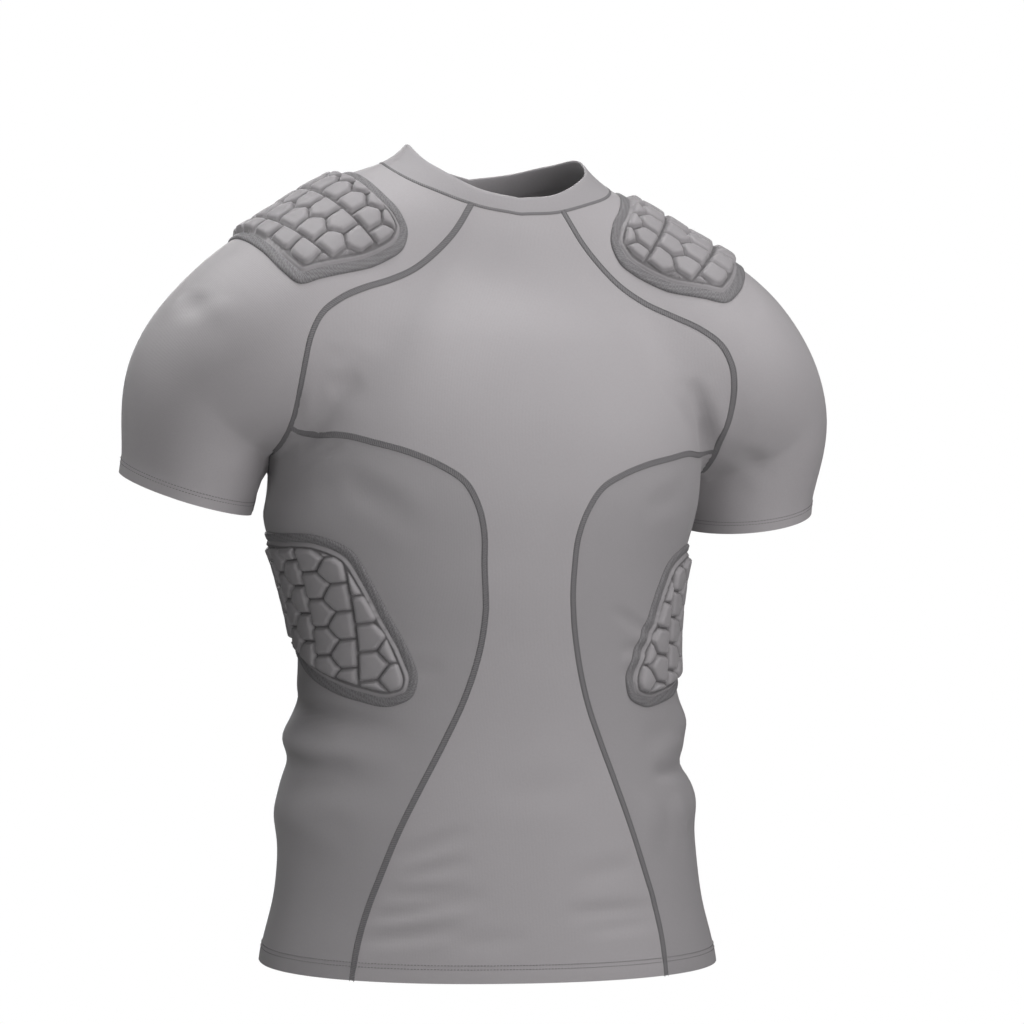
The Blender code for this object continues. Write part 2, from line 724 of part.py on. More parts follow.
def collar_solid(step=SEAM_STEP):
    """The folded band round the neck: three rows of points and its thickness."""
    front, back = RAGLAN_ANGLE
    few = lambda mm: max(2, round(mm / step))
    angles = np.concatenate([np.linspace(-front, front, few(85) + 1)[:-1],
                             np.linspace(front, back, few(150) + 1)[:-1],
                             np.linspace(back, 360 - back, few(75) + 1)[:-1],
                             np.linspace(-back, -front, few(150) + 1)[:-1]])
    low, high = neck_ring(angles, 0), neck_ring(angles, 1)
    middle = 0.5 * (low + high)
    heading = unit(middle - np.array([0.0, 0.0, 0.575]))
    middle = FORM.cast(np.tile([0.0, 0.0, 0.575], (len(low), 1)), heading, far=0.26)
    n = len(angles)
    points = np.concatenate([low, middle, high])
    tri = []
    for r in range(2):
        for i in range(n):
            a, b = r * n + i, r * n + (i + 1) % n
            tri += [(a, b, b + n), (a, b + n, a + n)]
    tri = np.array(tri)
    p = points[tri]
    nn = np.cross(p[:, 1] - p[:, 0], p[:, 2] - p[:, 0])
    normals = FORM.normal(points)
    if (nn * normals[tri].mean(1)).sum() < 0:
        tri = tri[:, ::-1]
    moved = inset(points, tri, normals, SEAM_GAP / 2)
    return shell(moved - normals * COLLAR_WALL, moved, tri)


def pose(p):
    """The worn pose: the hem's twist, a lean and a raised shoulder. Origin at the shoulders."""
    aside = smooth(column(DRIFT, 0), column(DRIFT, 1), p[:, 2])
    lift = RAISED_SHOULDER * MM * np.exp(-((p[:, 0] + 0.14) / 0.05)**2) \
        * np.clip((p[:, 2] - 0.45) / 0.1, 0, 1)
    dip = FRONT_DIP * MM * p[:, 1] / 0.11 * np.clip(1 - p[:, 2] / 0.25, 0, 1)
    out = np.clip((np.abs(p[:, 0]) - 0.165) / 0.06, 0, 1)
    aside = aside + ARM_SHIFT * MM * out * out * (3 - 2 * out) * np.clip((p[:, 2] - 0.3) / 0.05, 0, 1)
    x, y, z = p[:, 0] + aside, p[:, 1], p[:, 2] + lift + dip
    turn = math.radians(TWIST_DEG) * (1 - np.clip(z / 0.30, 0, 1))
    x, y = x * np.cos(turn) - y * np.sin(turn), x * np.sin(turn) + y * np.cos(turn)
    t = np.clip((z - 0.15) / 0.30, 0, 1)
    lean = math.radians(LEAN_DEG) * t * t * (3 - 2 * t)
    over = np.maximum(z - 0.25, 0)
    return np.stack([x * np.cos(lean) + over * np.sin(lean), y,
                     z - x * np.sin(lean) - SHOULDER_LEVEL], -1)


def add(name, solid, colour):
    points, faces = solid
    mesh = bpy.data.meshes.new(name)
    mesh.from_pydata(pose(points).tolist(), [], [tuple(map(int, f)) for f in faces])
    mesh.validate()
    obj = bpy.data.objects.new(name, mesh)
    material = bpy.data.materials.new(name + "_cloth")
    material.use_nodes = True
    shader = material.node_tree.nodes["Principled BSDF"]
    shader.inputs["Base Color"].default_value = colour
    shader.inputs["Roughness"].default_value = 0.78
    shader.inputs["Metallic"].default_value = 0.0
    material.diffuse_color = colour
    mesh.materials.append(material)
    bpy.context.scene.collection.objects.link(obj)
    return obj


def join(*runs):
    """Seam runs end to end as one closed border."""
    out = []
    for run in runs:
        out += list(run[:-1])
    return np.array(out)


def torso_panels(seams):
    right, left = seams.side["right"], seams.side["left"]
    front = join(seams.neck_front, left["raglan_front"], left["side_front"],
                 seams.hem_front[::-1], right["side_front"][::-1],
                 right["raglan_front"][::-1])
    back = join(seams.neck_back, right["raglan_back"], right["side_back"],
                seams.hem_back, left["side_back"][::-1], left["raglan_back"][::-1])
    return (("front_panel", Panel(front, PlanChart(-1.0), PANEL_STEP)),
            ("back_panel", Panel(back, PlanChart(1.0), PANEL_STEP)))


def side_panel(seams, name, sign):
    line = seams.side[name]
    chart = SideChart(sign)
    border = join(line["armpit"], line["side_back"], line["hem"][::-1],
                  line["side_front"][::-1])
    outline = spread(chart.from_degrees(RIB_PAD), 12.0, closed=True)
    return Panel(border, chart, SIDE_STEP, chains=[outline]), chart


def sleeve_panel(seams, name, sign):
    """The sleeve's border runs front, under the arm along its own seam, cuff and back."""
    line = seams.side[name]
    chart = SleeveChart(sign)
    front, back = line["raglan_front"], line["raglan_back"]
    pit = line["armpit"]
    neck = line["neck"]
    pit_flat = chart.flat(pit)
    turn = math.pi * chart.ROUND
    split = int(np.abs(np.abs(pit_flat[:, 1]) - turn).argmin())
    start = pit_flat[split, 0]
    cuff_angle = np.linspace(1, -1, max(8, round(370 / SEAM_STEP)) + 1) * turn
    cuff_flat = np.stack([CUFF["along"] + CUFF["rise"] * np.cos(cuff_angle / chart.ROUND),
                          cuff_angle], -1)
    inner = np.linspace(start, cuff_flat[0, 0], max(2, round((cuff_flat[0, 0] - start) / 10)) + 1)
    inner = np.stack([inner, np.full(len(inner), turn)], -1)[1:-1]
    down, up = chart.point(inner), chart.point(cuff_flat[:-1])
    front_run = join(front, np.concatenate([pit[:split], pit[split:split + 1]]))
    front_flat = chart.flat(front_run)
    front_flat[:, 1] = np.where(front_flat[:, 1] < -turn * 0.5, front_flat[:, 1] + 2 * turn,
                                front_flat[:, 1])
    back_run = join(pit[split:], back[::-1])[1:]
    back_flat = chart.flat(back_run)
    back_flat[:, 1] = np.where(back_flat[:, 1] > turn * 0.5, back_flat[:, 1] - 2 * turn,
                               back_flat[:, 1])
    neck_run = neck[::-1][:-1]
    neck_flat = chart.flat(neck_run)
    corner = np.array([[start, turn]])
    mirror_inner = inner[::-1] * np.array([1.0, -1.0])
    flat = np.concatenate([front_flat, corner, inner, cuff_flat[:-1], cuff_flat[-1:],
                           mirror_inner, corner * np.array([1.0, -1.0]), back_flat, neck_flat])
    border = np.concatenate([front_run, pit[split:split + 1], down, up, up[:1], down[::-1],
                             pit[split:split + 1], back_run, neck_run])
    a = len(front_flat)
    m = len(inner)
    first = a + 1 + m
    last = first + len(cuff_flat) - 1
    merge = [(last + 1 + m, a), (last, first)]
    merge += [(last + 1 + k, first - 1 - k) for k in range(m)]
    shift = SHOULDER_SHIFT[name]
    outline = spread(chart.from_degrees(SHOULDER_PAD, shift), 12.0, closed=True)
    return Panel(border, chart, PANEL_STEP, flat=flat, chains=[outline], merge=merge), chart


def main():
    for obj in list(bpy.data.objects):
        bpy.data.objects.remove(obj, do_unlink=True)
    seams = Seams()
    for name, panel in torso_panels(seams):
        add(name, panel.solid(CLOTH), COLOURS[name])
    for name, sign in SIDES:
        panel, chart = side_panel(seams, name, sign)
        add("side_panel_" + name, panel.solid(CLOTH), COLOURS["side_panel"])
        start = chart.from_degrees([(72, 300)])[0, 0]
        add("rib_pad_" + name, pad(panel, 0, chart, 0, start), COLOURS["rib_pad"])
        panel, chart = sleeve_panel(seams, name, sign)
        add("sleeve_" + name, panel.solid(CLOTH), COLOURS["sleeve"])
        start = 108 + SHOULDER_SHIFT[name] + 2 * CELL["column"]
        add("shoulder_pad_" + name, pad(panel, 0, chart, 0, start), COLOURS["shoulder_pad"])
    add("collar", collar_solid(), COLOURS["collar"])


main()
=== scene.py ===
# Padded compression shirt in its worn, hollow form: the finished look of each piece.
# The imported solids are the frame. Each panel is cut again at a finer step from the same worn
# form, with its creases, hems, seams and stitches, and each pad gets its full cells.
# Metres, +Z up, the front faces -Y, and the wearer's right side is -X.

import math

import bpy
import numpy as np
from mathutils import Matrix, Vector
from mathutils.geometry import delaunay_2d_cdt


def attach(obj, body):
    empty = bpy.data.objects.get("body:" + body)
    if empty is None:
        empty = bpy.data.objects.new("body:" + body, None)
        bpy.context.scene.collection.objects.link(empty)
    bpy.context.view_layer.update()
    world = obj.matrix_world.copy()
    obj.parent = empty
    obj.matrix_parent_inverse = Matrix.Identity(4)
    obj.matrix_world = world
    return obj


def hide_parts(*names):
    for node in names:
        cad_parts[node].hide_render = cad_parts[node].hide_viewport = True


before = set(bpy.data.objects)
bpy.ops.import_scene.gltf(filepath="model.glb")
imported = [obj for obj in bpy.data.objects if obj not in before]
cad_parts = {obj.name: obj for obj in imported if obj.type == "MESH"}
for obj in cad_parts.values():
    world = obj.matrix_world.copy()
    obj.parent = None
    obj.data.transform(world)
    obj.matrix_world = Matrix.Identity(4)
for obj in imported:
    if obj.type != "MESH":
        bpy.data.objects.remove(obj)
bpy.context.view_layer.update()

bl_info = {
    "name": "Padded compression shirt",
    "version": (1, 0, 0),
    "blender": (4, 5, 0),
    "location": "3D View > Sidebar > Shirt",
    "description": "Builds the cloth, pads, seams and stitches of a padded compression shirt",
    "category": "Object",
}

MM = 0.001
SHOULDER_LEVEL = 650 * MM       # height of the shoulders' inside above the hem, the origin
BLEND = (10, 34)                # how softly the sleeve runs into the torso, armpit and shoulder
BLEND_HEIGHTS = (425, 505)      # the heights in mm between which that softness changes
SLEEVE_DEPTH = 1.06             # sleeve's depth over its width
SEAM_GAP = 0.1 * MM             # between two panels, under their seam
NECK_MIDDLE = np.array([0.0, 0.0, 0.575])   # the point that the collar's rays start from

# A pad's profile over the cloth, in mm.
PAD_EDGE = 1.8              # height of its sewn border
GROOVE_FLOOR = 3.0          # height between its cells
RIM = 2.8                   # width over which a cell rises from its groove
ROUNDNESS = 2.4             # how full that rise is
THIN_EDGE, EDGE_ROUND = 0.5, 1.5    # height at its very edge, and width of the rounding
DIP, DIP_WIDTH = 0.7, 0.8           # the sewn line along the border's inner side
MARGIN_OVER, MARGIN_RISE = 0.5, 2.5     # the margin over the grooves, and its slope's width
CROWN, CROWN_REACH = 0.5, 9         # the cells' low crown, and where it is full
GROOVE_DIP, GROOVE_HALF = 0.7, 0.6  # the sunk middle of a groove
PAD_OVER, PAD_UNDER = 0.3, 0.12     # its top and its underside, further out than the cloth

# The torso's sections, measured in mm from the hem up.
TORSO = [
    # name,      height, half_width, front, back, squareness
    ("below",       -40, 197, 112, 112, 2.2),
    ("hem",           0, 196, 112, 112, 2.2),
    ("hip",          55, 184, 109, 110, 2.2),
    ("high_hip",    120, 178, 106, 106, 2.2),
    ("waist",       200, 168, 104, 103, 2.2),
    ("low_rib",     265, 163, 110, 108, 2.2),
    ("rib",         330, 173, 119, 117, 2.2),
    ("chest",       400, 186, 125, 126, 2.3),
    ("high_chest",  460, 184, 122, 128, 2.3),
    ("armhole",     520, 168, 106, 122, 2.2),
    ("yoke",        570, 140, 82, 102, 2.1),
    ("base",        615, 104, 72, 78, 2.0),
    ("collar",      655, 79, 60, 62, 2.0),
    ("neck",        690, 72, 55, 60, 2.0),
    ("top",         740, 71, 54, 60, 2.0),
]

# The sleeve's middle line and radius, from the neck to past the cuff, in mm.
SLEEVE = [
    # name,       x,  y, height, radius
    ("neck",         0,  8, 647, 40),
    ("neck_side",  45,  8, 627, 46),
    ("trapezius", 100,  7, 599, 58),
    ("slope",     140,  3, 569, 67),
    ("shoulder",  198,  0, 512, 84),
    ("upper_arm", 242, 14, 474, 70),
    ("cuff",      252, 32, 404, 59),
    ("below",     262, 46, 330, 57),
]

# The collar: its sewn line and its top edge by the angle round from the front.
COLLAR = [
    # angle, seam_height, top_height
    (0,   626, 640),
    (30,  631, 646),
    (60,  645, 664),
    (90,  664, 684),
    (120, 664, 682),
    (150, 654, 674),
    (180, 648, 668),
]
RAGLAN_ANGLE = (33, 150)    # where the raglan seams meet the collar, front and back

# Sewn lines of one side in mm, mirrored to the other: x out from the middle, z up.
RAGLAN_FRONT = [
    # x, height
    (57, 606), (73, 588), (91, 572), (113, 559), (137, 549),
    (158, 540), (175, 528), (184, 512), (188, 492), (189, 468), (188, 447),
]
RAGLAN_BACK = [
    # x, height
    (60, 620), (84, 592), (112, 570), (142, 552), (168, 530), (183, 500),
    (189, 468), (189, 446),
]
SIDE_FRONT = [
    # x, height
    (172, 435), (152, 435), (130, 430), (100, 422), (78, 413), (60, 402), (48, 384),
    (41, 362), (39, 335), (38, 300), (43, 262), (53, 226), (68, 190), (84, 155),
    (100, 118), (112, 85), (122, 55), (129, 25), (132, 0),
]
SIDE_BACK = [
    # x, height
    (172, 424), (148, 412), (122, 386), (106, 350), (98, 300), (96, 250),
    (100, 200), (108, 150), (118, 100), (127, 50), (132, 0),
]
ARMPIT = [
    # y, x
    (-50, 189), (-30, 190.5), (-12, 191.5), (0, 191), (12, 188.5), (25, 187), (37, 186),
    (50, 185), (62, 187),
]
ARMPIT_ABOVE = 500          # a height inside the shoulder, over the whole of that line, mm
CUFF = {"along": 395, "rise": -5}     # sleeve length at the cuff, and its slant

# Pad outlines on the sleeve (mm along it, degrees round it) and the side (degrees, mm).
SHOULDER_PAD = [
    # along, angle
    (100, 18), (99, 58), (97, 76), (101, 89), (117, 98), (137, 99), (163, 94), (194, 80),
    (207, 72), (208, 60), (205, 42), (201, 14), (199, -20), (200, -48), (192, -68),
    (165, -80), (135, -82), (113, -72), (102, -48), (100, -16),
]
RIB_PAD = [
    # angle, height
    (68, 352), (60, 336), (56, 312), (52, 280), (46, 242), (44, 222), (46, 208), (52, 203),
    (63, 211), (77, 227), (93, 246), (108, 262), (117, 276), (121, 296), (121, 324),
    (115, 346), (101, 357), (83, 358),
]
SHOULDER_SHIFT = {"right": 7, "left": -7}   # each shoulder pad's shift along the sleeve, mm

# Cells in mm. The first straight line is at an angle on the ribs, at a length on the sleeve.
RIB_CELL = {"first": 77, "column": 21.5, "pitch": 24.0, "zigzag": 5.0}
SHOULDER_CELL = {"first": 138, "column": 20.0, "pitch": 19.0, "zigzag": 4.0}

# The largest folds: a bulge out, or a trough where it is negative, across the torso.
FOLDS = [
    # side, angle, height, reach_deg, half_width_mm, out_mm, slope_mm
    ("right", 84, 186, 40, 14, 4.6, 10),
    ("right", 78, 212, 34, 8, -2.6, 12),
    ("right", 88, 128, 44, 22, 3.0, -6),
    ("right", 120, 160, 36, 13, 2.8, 14),
    ("left", 96, 200, 40, 15, 3.6, -12),
    ("left", 92, 165, 40, 10, -3.2, -10),
    ("left", 86, 138, 44, 18, 2.4, 8),
    ("left", 126, 182, 34, 13, 2.6, -12),
    ("right", 172, 214, 34, 12, 2.6, 8),
    ("left", 170, 190, 36, 14, 2.4, 10),
    ("right", 86, 362, 36, 24, 6.0, 0),
]

# The worn pose: sideways drift of the middle by height, a lean and a twist of the hem.
DRIFT = [
    # height, aside
    (0, 8), (55, 7), (120, 5), (200, 4), (265, 1), (330, -6), (400, -7), (500, -8),
    (600, -10), (690, -12), (800, -12),
]
LEAN_DEG = 1.5
FRONT_DIP = 4               # the hem hangs this much lower in front, mm
TWIST_DEG = -8.0
ARM_SHIFT = 5               # both arms swing this far to the wearer's left, mm
RAISED_SHOULDER = 6         # the wearer's right shoulder sits this much higher, mm

# Sizes of the finish, in mm.
STEP = 4.6        # mesh step of the cloth
SEAM_STEP = 4.6   # mesh step along a sewn line
PAD_STEP = 1.7    # mesh step of the pads
HEM = 14.5                          # depth of the folded hem
CUFF_FOLD = 11.5                    # depth of the folded cuff
BORDER = 7.6                        # width of a pad's sewn border
CELL_MARGIN = 11.0                  # from a pad's edge to its cells
CELL_TOP = 6.6                      # height of a cell over the cloth
GROOVE_WIDTH = {"straight": 2.0, "other": 1.2}
BORDER_LINES = (0.7, 1.5, BORDER - 0.8, BORDER, BORDER + 0.9)   # mesh lines, from a pad's edge
CELL_LINES = (0.35, 0.9, 1.7, 2.8)      # mesh lines inside each cell, from its edge
BORDER_STEP = 2.2                   # mesh step along a pad's border
CLEAR = 0.35                        # least distance of a mesh point from a pad's edge
CORNER = 0.7                        # how round a cell's corners are
LEAST_CELL = 1.4                    # a cell narrower than twice this is left out
LEAST_SIDE = 2.5                    # corners of a cell that are closer are joined
OUTLINE_STEP = 3.0                  # step along a pad's outline
FOLD_EDGE = 1.2                     # width over which a fold's edge rises
FOLD_OUT, FOLD_IN = 0.4, 0.3        # how much thicker a fold is, outside and inside
COLLAR_SEAM = {"width": 2.6, "rise": 0.55}
COLLAR_BAND = 18                    # height of the collar
CREASE_POINTS = 9                   # points along a crease
RIDGE, RIDGE_ASIDE, RIDGE_WIDTH = 0.32, 1.9, 0.9    # a trough's ridge: share, place and width
RUNS = {"neck_front": 85, "neck_back": 75, "neck_side": 150, "armpit": 130, "hem": 265,
        "cuff": 370}                # about how long each sewn or cut edge is
STITCH_LENGTH, STITCH_THICKNESS = 2.1, 0.6
STITCH_HEIGHT = 0.42                # of the hem's and cuffs' stitches over the cloth
SECOND_ROW = {"hem": 3.2, "cuff": 3.0}      # from the first row of stitches to the second

# Listed creases: soft troughs (minus) and ridges (plus), from one point of the form to
# another, in mm from the hem's middle. Each has its own half width and depth.
CREASES = [
    # start x, y, z,     end x, y, z,    half_width, push
    (-104, -92, 97,      -42, -103, 123,   6, -1.3),
    (-98, -95, 83,       -40, -105, 98,    5, -1.0),
    (-110, -92, 69,      -26, -107, 71,    6, -1.1),
    (-122, -88, 49,      -30, -107, 67,    5, -1.4),
    (-130, -87, 31,      -44, -107, 45,    6, -1.5),
    (-60, -104, 30,      10, -109, 36,     7, -0.8),
    (36, -107, 54,       128, -85, 55,     6, -1.4),
    (50, -106, 40,       128, -86, 44,     5, -1.3),
    (40, -107, 82,       110, -95, 92,     8, -0.9),
    (-30, -108, 150,     60, -108, 158,   12, -0.8),
    (150, -83, 497,      164, -77, 467,    6, -2.6),
    (160, -80, 478,      182, -58, 436,    6, -4.2),
    (172, -80, 500,      190, -66, 446,    7, 2.2),
    (-190, -78, 492,     -186, -54, 432,   5, -2.6),
    (-182, -48, 423,     -160, -72, 441,   5, -2.4),
    (-176, -50, 415,     -150, -80, 428,   5, -1.8),
    (-164, -79, 468,     -138, -86, 478,  11, -1.8),
    (-160, -83, 505,     -156, -83, 486,  12, -1.2),
    (-150, -82, 400,     -100, -108, 380,  9, -1.2),
    (-150, -84, 392,     -84, -110, 360,  10, -1.0),
    (146, -80, 402,      100, -106, 386,   9, -1.2),
    (126, -78, 276,      74, -104, 302,    5, -1.5),
    (124, -79, 268,      82, -99, 268,     5, -1.4),
    (118, -82, 256,      84, -98, 244,     6, -1.1),
    (-112, -90, 246,     -72, -104, 252,   7, -1.0),
    (120, -78, 164,      166, -34, 160,    5, -3.4),
    (112, -84, 176,      160, -44, 190,    9, 1.8),
    (112, -88, 148,      122, -84, 96,     8, 1.2),
    (146, -62, 150,      164, -53, 84,     7, 1.5),
    (132, -74, 146,      142, -74, 100,    6, -1.2),
    (-176, -6, 172,      -134, -68, 172,   7, -2.2),
    (-170, 10, 204,      -140, -66, 196,   9, 1.4),
    (-166, -34, 130,     -130, -74, 120,  10, -1.2),
    (-180, -12, 386,     -150, -70, 398,   8, -1.8),
    (-262, -34, 541,     -272, -38, 520,  14, -3.0),
    (-240, -46, 540,     -218, -66, 520,  18, 1.4),
    (-210, -70, 430,     -250, -40, 410,  12, -1.2),
    (200, -66, 430,      236, -39, 428,    9, -2.2),
    (196, -58, 414,      240, -40, 408,    8, 1.2),
    (196, -74, 572,      214, -70, 556,   14, -1.6),
    (120, 82, 166,       166, 30, 156,     6, -2.6),
    (-118, 84, 160,      -168, 26, 176,    6, -2.4),
    (-60, 100, 176,      50, 101, 168,    10, -1.5),
    (-70, 100, 206,      30, 103, 214,    12, -1.2),
    (60, 103, 130,       130, 80, 112,     9, -1.1),
    (-130, 82, 112,      -50, 104, 126,   10, -1.0),
    (-150, 92, 430,      -110, 118, 396,   9, -1.6),
    (150, 92, 430,       112, 118, 392,    9, -1.8),
    (-168, 84, 470,      -140, 112, 520,   8, -1.6),
    (168, 84, 470,       142, 112, 516,    8, -1.5),
    (-30, 118, 300,      -60, 112, 240,   14, -0.8),
    (24, 118, 310,       50, 112, 246,    14, -0.8),
    (238, 60, 452,       206, 72, 430,     9, -1.8),
    (-238, 60, 448,      -208, 72, 428,    9, -1.7),
]

SIDES = (("right", -1.0), ("left", 1.0))


def smooth(xs, ys, x):
    """A smooth curve through a table's rows."""
    xs, ys = np.asarray(xs, float), np.asarray(ys, float)
    step = np.diff(xs)
    slope = np.diff(ys) / step
    tangent = np.empty_like(ys)
    tangent[0], tangent[-1] = slope[0], slope[-1]
    tangent[1:-1] = (slope[:-1] * step[1:] + slope[1:] * step[:-1]) / (step[:-1] + step[1:])
    x = np.clip(x, xs[0], xs[-1])
    i = np.clip(np.searchsorted(xs, x) - 1, 0, len(step) - 1)
    t = (x - xs[i]) / step[i]
    return ((2 * t**3 - 3 * t**2 + 1) * ys[i] + (t**3 - 2 * t**2 + t) * step[i] * tangent[i]
            + (3 * t**2 - 2 * t**3) * ys[i + 1] + (t**3 - t**2) * step[i] * tangent[i + 1])


def column(table, k, scale=MM):
    return np.array([row[k] for row in table], float) * scale


def unit(v):
    return v / np.maximum(np.linalg.norm(v, axis=-1, keepdims=True), 1e-12)


def lengths(points):
    """How far along its line each point lies."""
    return np.r_[0, np.cumsum(np.linalg.norm(np.diff(points, axis=0), axis=1))]


def step_up(t):
    t = np.clip(t, 0, 1)
    return t * t * (3 - 2 * t)


class WornForm:
    """The garment's outer surface as a field, negative inside."""

    def __init__(self):
        self.height = column(TORSO, 1)
        self.half = column(TORSO, 2)
        self.front = column(TORSO, 3)
        self.back = column(TORSO, 4)
        self.square = column(TORSO, 5, 1.0)
        rows = np.stack([column(SLEEVE, k) for k in (1, 2, 3)], 1)
        self.along = lengths(rows)
        self.rows = rows
        self.radius = column(SLEEVE, 4)
        s = np.linspace(0, self.along[-1], 80)
        self.balls = self.line(s)
        self.ball_radius = smooth(self.along, self.radius, s)

    def line(self, s):
        """The sleeve's middle line on the +X side."""
        return np.stack([smooth(self.along, self.rows[:, k], s) for k in range(3)], -1)

    def torso(self, p):
        z = p[..., 2]
        half = smooth(self.height, self.half, z)
        front = smooth(self.height, self.front, z)
        back = smooth(self.height, self.back, z)
        power = smooth(self.height, self.square, z)
        depth = np.where(p[..., 1] < 0, front, back)
        q = (np.abs(p[..., 0]) / half) ** power + (np.abs(p[..., 1]) / depth) ** power
        return (np.maximum(q, 1e-12) ** (1 / power) - 1) * 0.4 * (front + back)

    def sleeves(self, p):
        p = np.stack([np.abs(p[..., 0]), p[..., 1], p[..., 2]], -1)
        nearest = np.full(p.shape[:-1], 1e9)
        for centre, radius in zip(self.balls, self.ball_radius):
            v = p - centre
            away = np.sqrt(v[..., 0]**2 + (v[..., 1] / SLEEVE_DEPTH)**2 + v[..., 2]**2)
            nearest = np.minimum(nearest, away - radius)
        return nearest

    def folds(self, p):
        """How far the largest folds push the surface out."""
        out = np.zeros(p.shape[:-1])
        angle = np.degrees(np.arctan2(p[..., 0], -p[..., 1]))
        for side, middle, height, reach, half_width, push, rise in FOLDS:
            sign = 1.0 if side == "left" else -1.0
            t = ((angle * sign - middle + 180) % 360 - 180) / reach
            dz = (p[..., 2] - (height + rise * t) * MM) / (half_width * MM)
            out += push * MM * np.exp(-dz**2) * np.clip(1 - t**2, 0, 1)**2
        return out

    def __call__(self, p):
        body, arms = self.torso(p), np.full(p.shape[:-1], 1.0)
        near = p[..., 2] > 0.24
        arms[near] = self.sleeves(p[near])
        t = np.clip((p[..., 2] / MM - BLEND_HEIGHTS[0]) / np.ptp(BLEND_HEIGHTS), 0, 1)
        soft = (BLEND[0] + (BLEND[1] - BLEND[0]) * t * t * (3 - 2 * t)) * MM
        h = np.clip(0.5 + 0.5 * (arms - body) / soft, 0, 1)
        return arms * (1 - h) + body * h - soft * h * (1 - h) - self.folds(p)

    def cast(self, start, heading, far=0.32, steps=64):
        """Where rays that start inside first leave the form."""
        t = np.linspace(0.003, far, steps)
        path = start[:, None, :] + heading[:, None, :] * t[None, :, None]
        out = self(path.reshape(-1, 3)).reshape(len(start), steps) > 0
        i = np.where(out.any(1), out.argmax(1), steps - 1)
        high, low = t[i], t[np.maximum(i - 1, 0)]
        for _ in range(24):
            mid = 0.5 * (low + high)
            inside = self(start + heading * mid[:, None]) < 0
            low, high = np.where(inside, mid, low), np.where(inside, high, mid)
        return start + heading * high[:, None]

    def slope(self, p, e=5e-4):
        g = [self(p + np.eye(3)[k] * e) - self(p - np.eye(3)[k] * e) for k in range(3)]
        return np.stack(g, -1) / (2 * e)

    def normal(self, p):
        return unit(self.slope(p))

    def settle(self, p, rounds=3):
        """Nearby points brought onto the form."""
        for _ in range(rounds):
            g = self.slope(p)
            step = g * (self(p) / np.maximum((g * g).sum(-1), 0.2))[:, None]
            long = np.maximum(np.linalg.norm(step, axis=-1, keepdims=True) / MM, 1)
            p = p - step / long
        return p


FORM = WornForm()


class PlanChart:
    """Front or back: x across and height up, in mm."""

    def __init__(self, facing):
        self.facing = facing

    def flat(self, p):
        return np.stack([p[:, 0], p[:, 2]], -1) / MM

    def point(self, uv):
        start = np.stack([uv[:, 0], 0 * uv[:, 0], uv[:, 1]], -1) * MM
        heading = np.tile([0.0, self.facing, 0.0], (len(uv), 1))
        return FORM.cast(start, heading, far=0.22)


class SideChart:
    """Round one side: length round at rib height, and height, in mm."""
    TILT = 0.4
    OUT = 180 * MM
    RIB_HEIGHT = 0.30

    def __init__(self, sign):
        self.sign = sign
        self.angles = np.radians(np.linspace(-30, 210, 241))
        ring = self.along_angle(self.angles, np.full(len(self.angles), self.RIB_HEIGHT))
        arc = lengths(ring[:, :2])
        self.arc = (arc - np.interp(0.0, self.angles, arc)) / MM

    def along_angle(self, angle, height):
        start = np.stack([0 * angle, 0 * angle, height + self.OUT * self.TILT], -1)
        heading = unit(np.stack([np.sin(angle) * self.sign, -np.cos(angle),
                                 np.full(len(angle), -self.TILT)], -1))
        return FORM.cast(start, heading)

    def from_degrees(self, rows):
        """Rows of (angle, height) as flat points."""
        rows = np.asarray(rows, float)
        return np.stack([np.interp(np.radians(rows[:, 0]), self.angles, self.arc), rows[:, 1]], -1)

    def flat(self, p):
        angle = np.arctan2(p[:, 0] * self.sign, -p[:, 1]) % (2 * math.pi)
        angle = np.where(angle > math.radians(240), angle - 2 * math.pi, angle)
        height = p[:, 2] + self.TILT * (np.hypot(p[:, 0], p[:, 1]) - self.OUT)
        return np.stack([np.interp(angle, self.angles, self.arc), height / MM], -1)

    def point(self, uv):
        angle = np.interp(uv[:, 0], self.arc, self.angles)
        return self.along_angle(angle, uv[:, 1] * MM)


class SleeveChart:
    """Along and round one sleeve, in mm: 0 round is on top, the front is plus."""
    ROUND = 68.0            # mm for a radian

    def __init__(self, sign):
        self.mirror = np.array([sign, 1.0, 1.0])
        self.s = np.linspace(-0.03, FORM.along[-1], 900)
        self.c, self.n, self.f, self.u = self.frames(self.s)

    def frames(self, s):
        e = 2e-3
        ends = FORM.along[-1]
        inner = FORM.line(np.clip(s, 0, ends))
        n = unit(FORM.line(np.clip(s + e, e, ends)) - FORM.line(np.clip(s - e, 0, ends - e)))
        c = inner + n * (s - np.clip(s, 0, ends))[:, None]
        f = unit(np.array([0.0, -1.0, 0.0]) + n * n[:, 1:2])
        return c, n, f, np.cross(f, n)

    def flat(self, p):
        p = p * self.mirror
        out = []
        for q in p:
            g = np.einsum("ij,ij->i", q - self.c, self.n)
            k = np.where((g[:-1] >= 0) & (g[1:] < 0))[0]
            k = k[np.linalg.norm(q - self.c[k], axis=1).argmin()] if len(k) else abs(g).argmin()
            v = q - self.c[k]
            out.append((self.s[k] / MM, math.atan2(v @ self.f[k], v @ self.u[k]) * self.ROUND))
        return np.array(out)

    def from_degrees(self, rows, shift=0.0):
        rows = np.asarray(rows, float)
        return np.stack([rows[:, 0] + shift, np.radians(rows[:, 1]) * self.ROUND], -1)

    def point(self, uv):
        c, n, f, u = self.frames(uv[:, 0] * MM)
        a = uv[:, 1:2] / self.ROUND
        return FORM.cast(c, u * np.cos(a) + f * np.sin(a), far=0.16, steps=110) * self.mirror


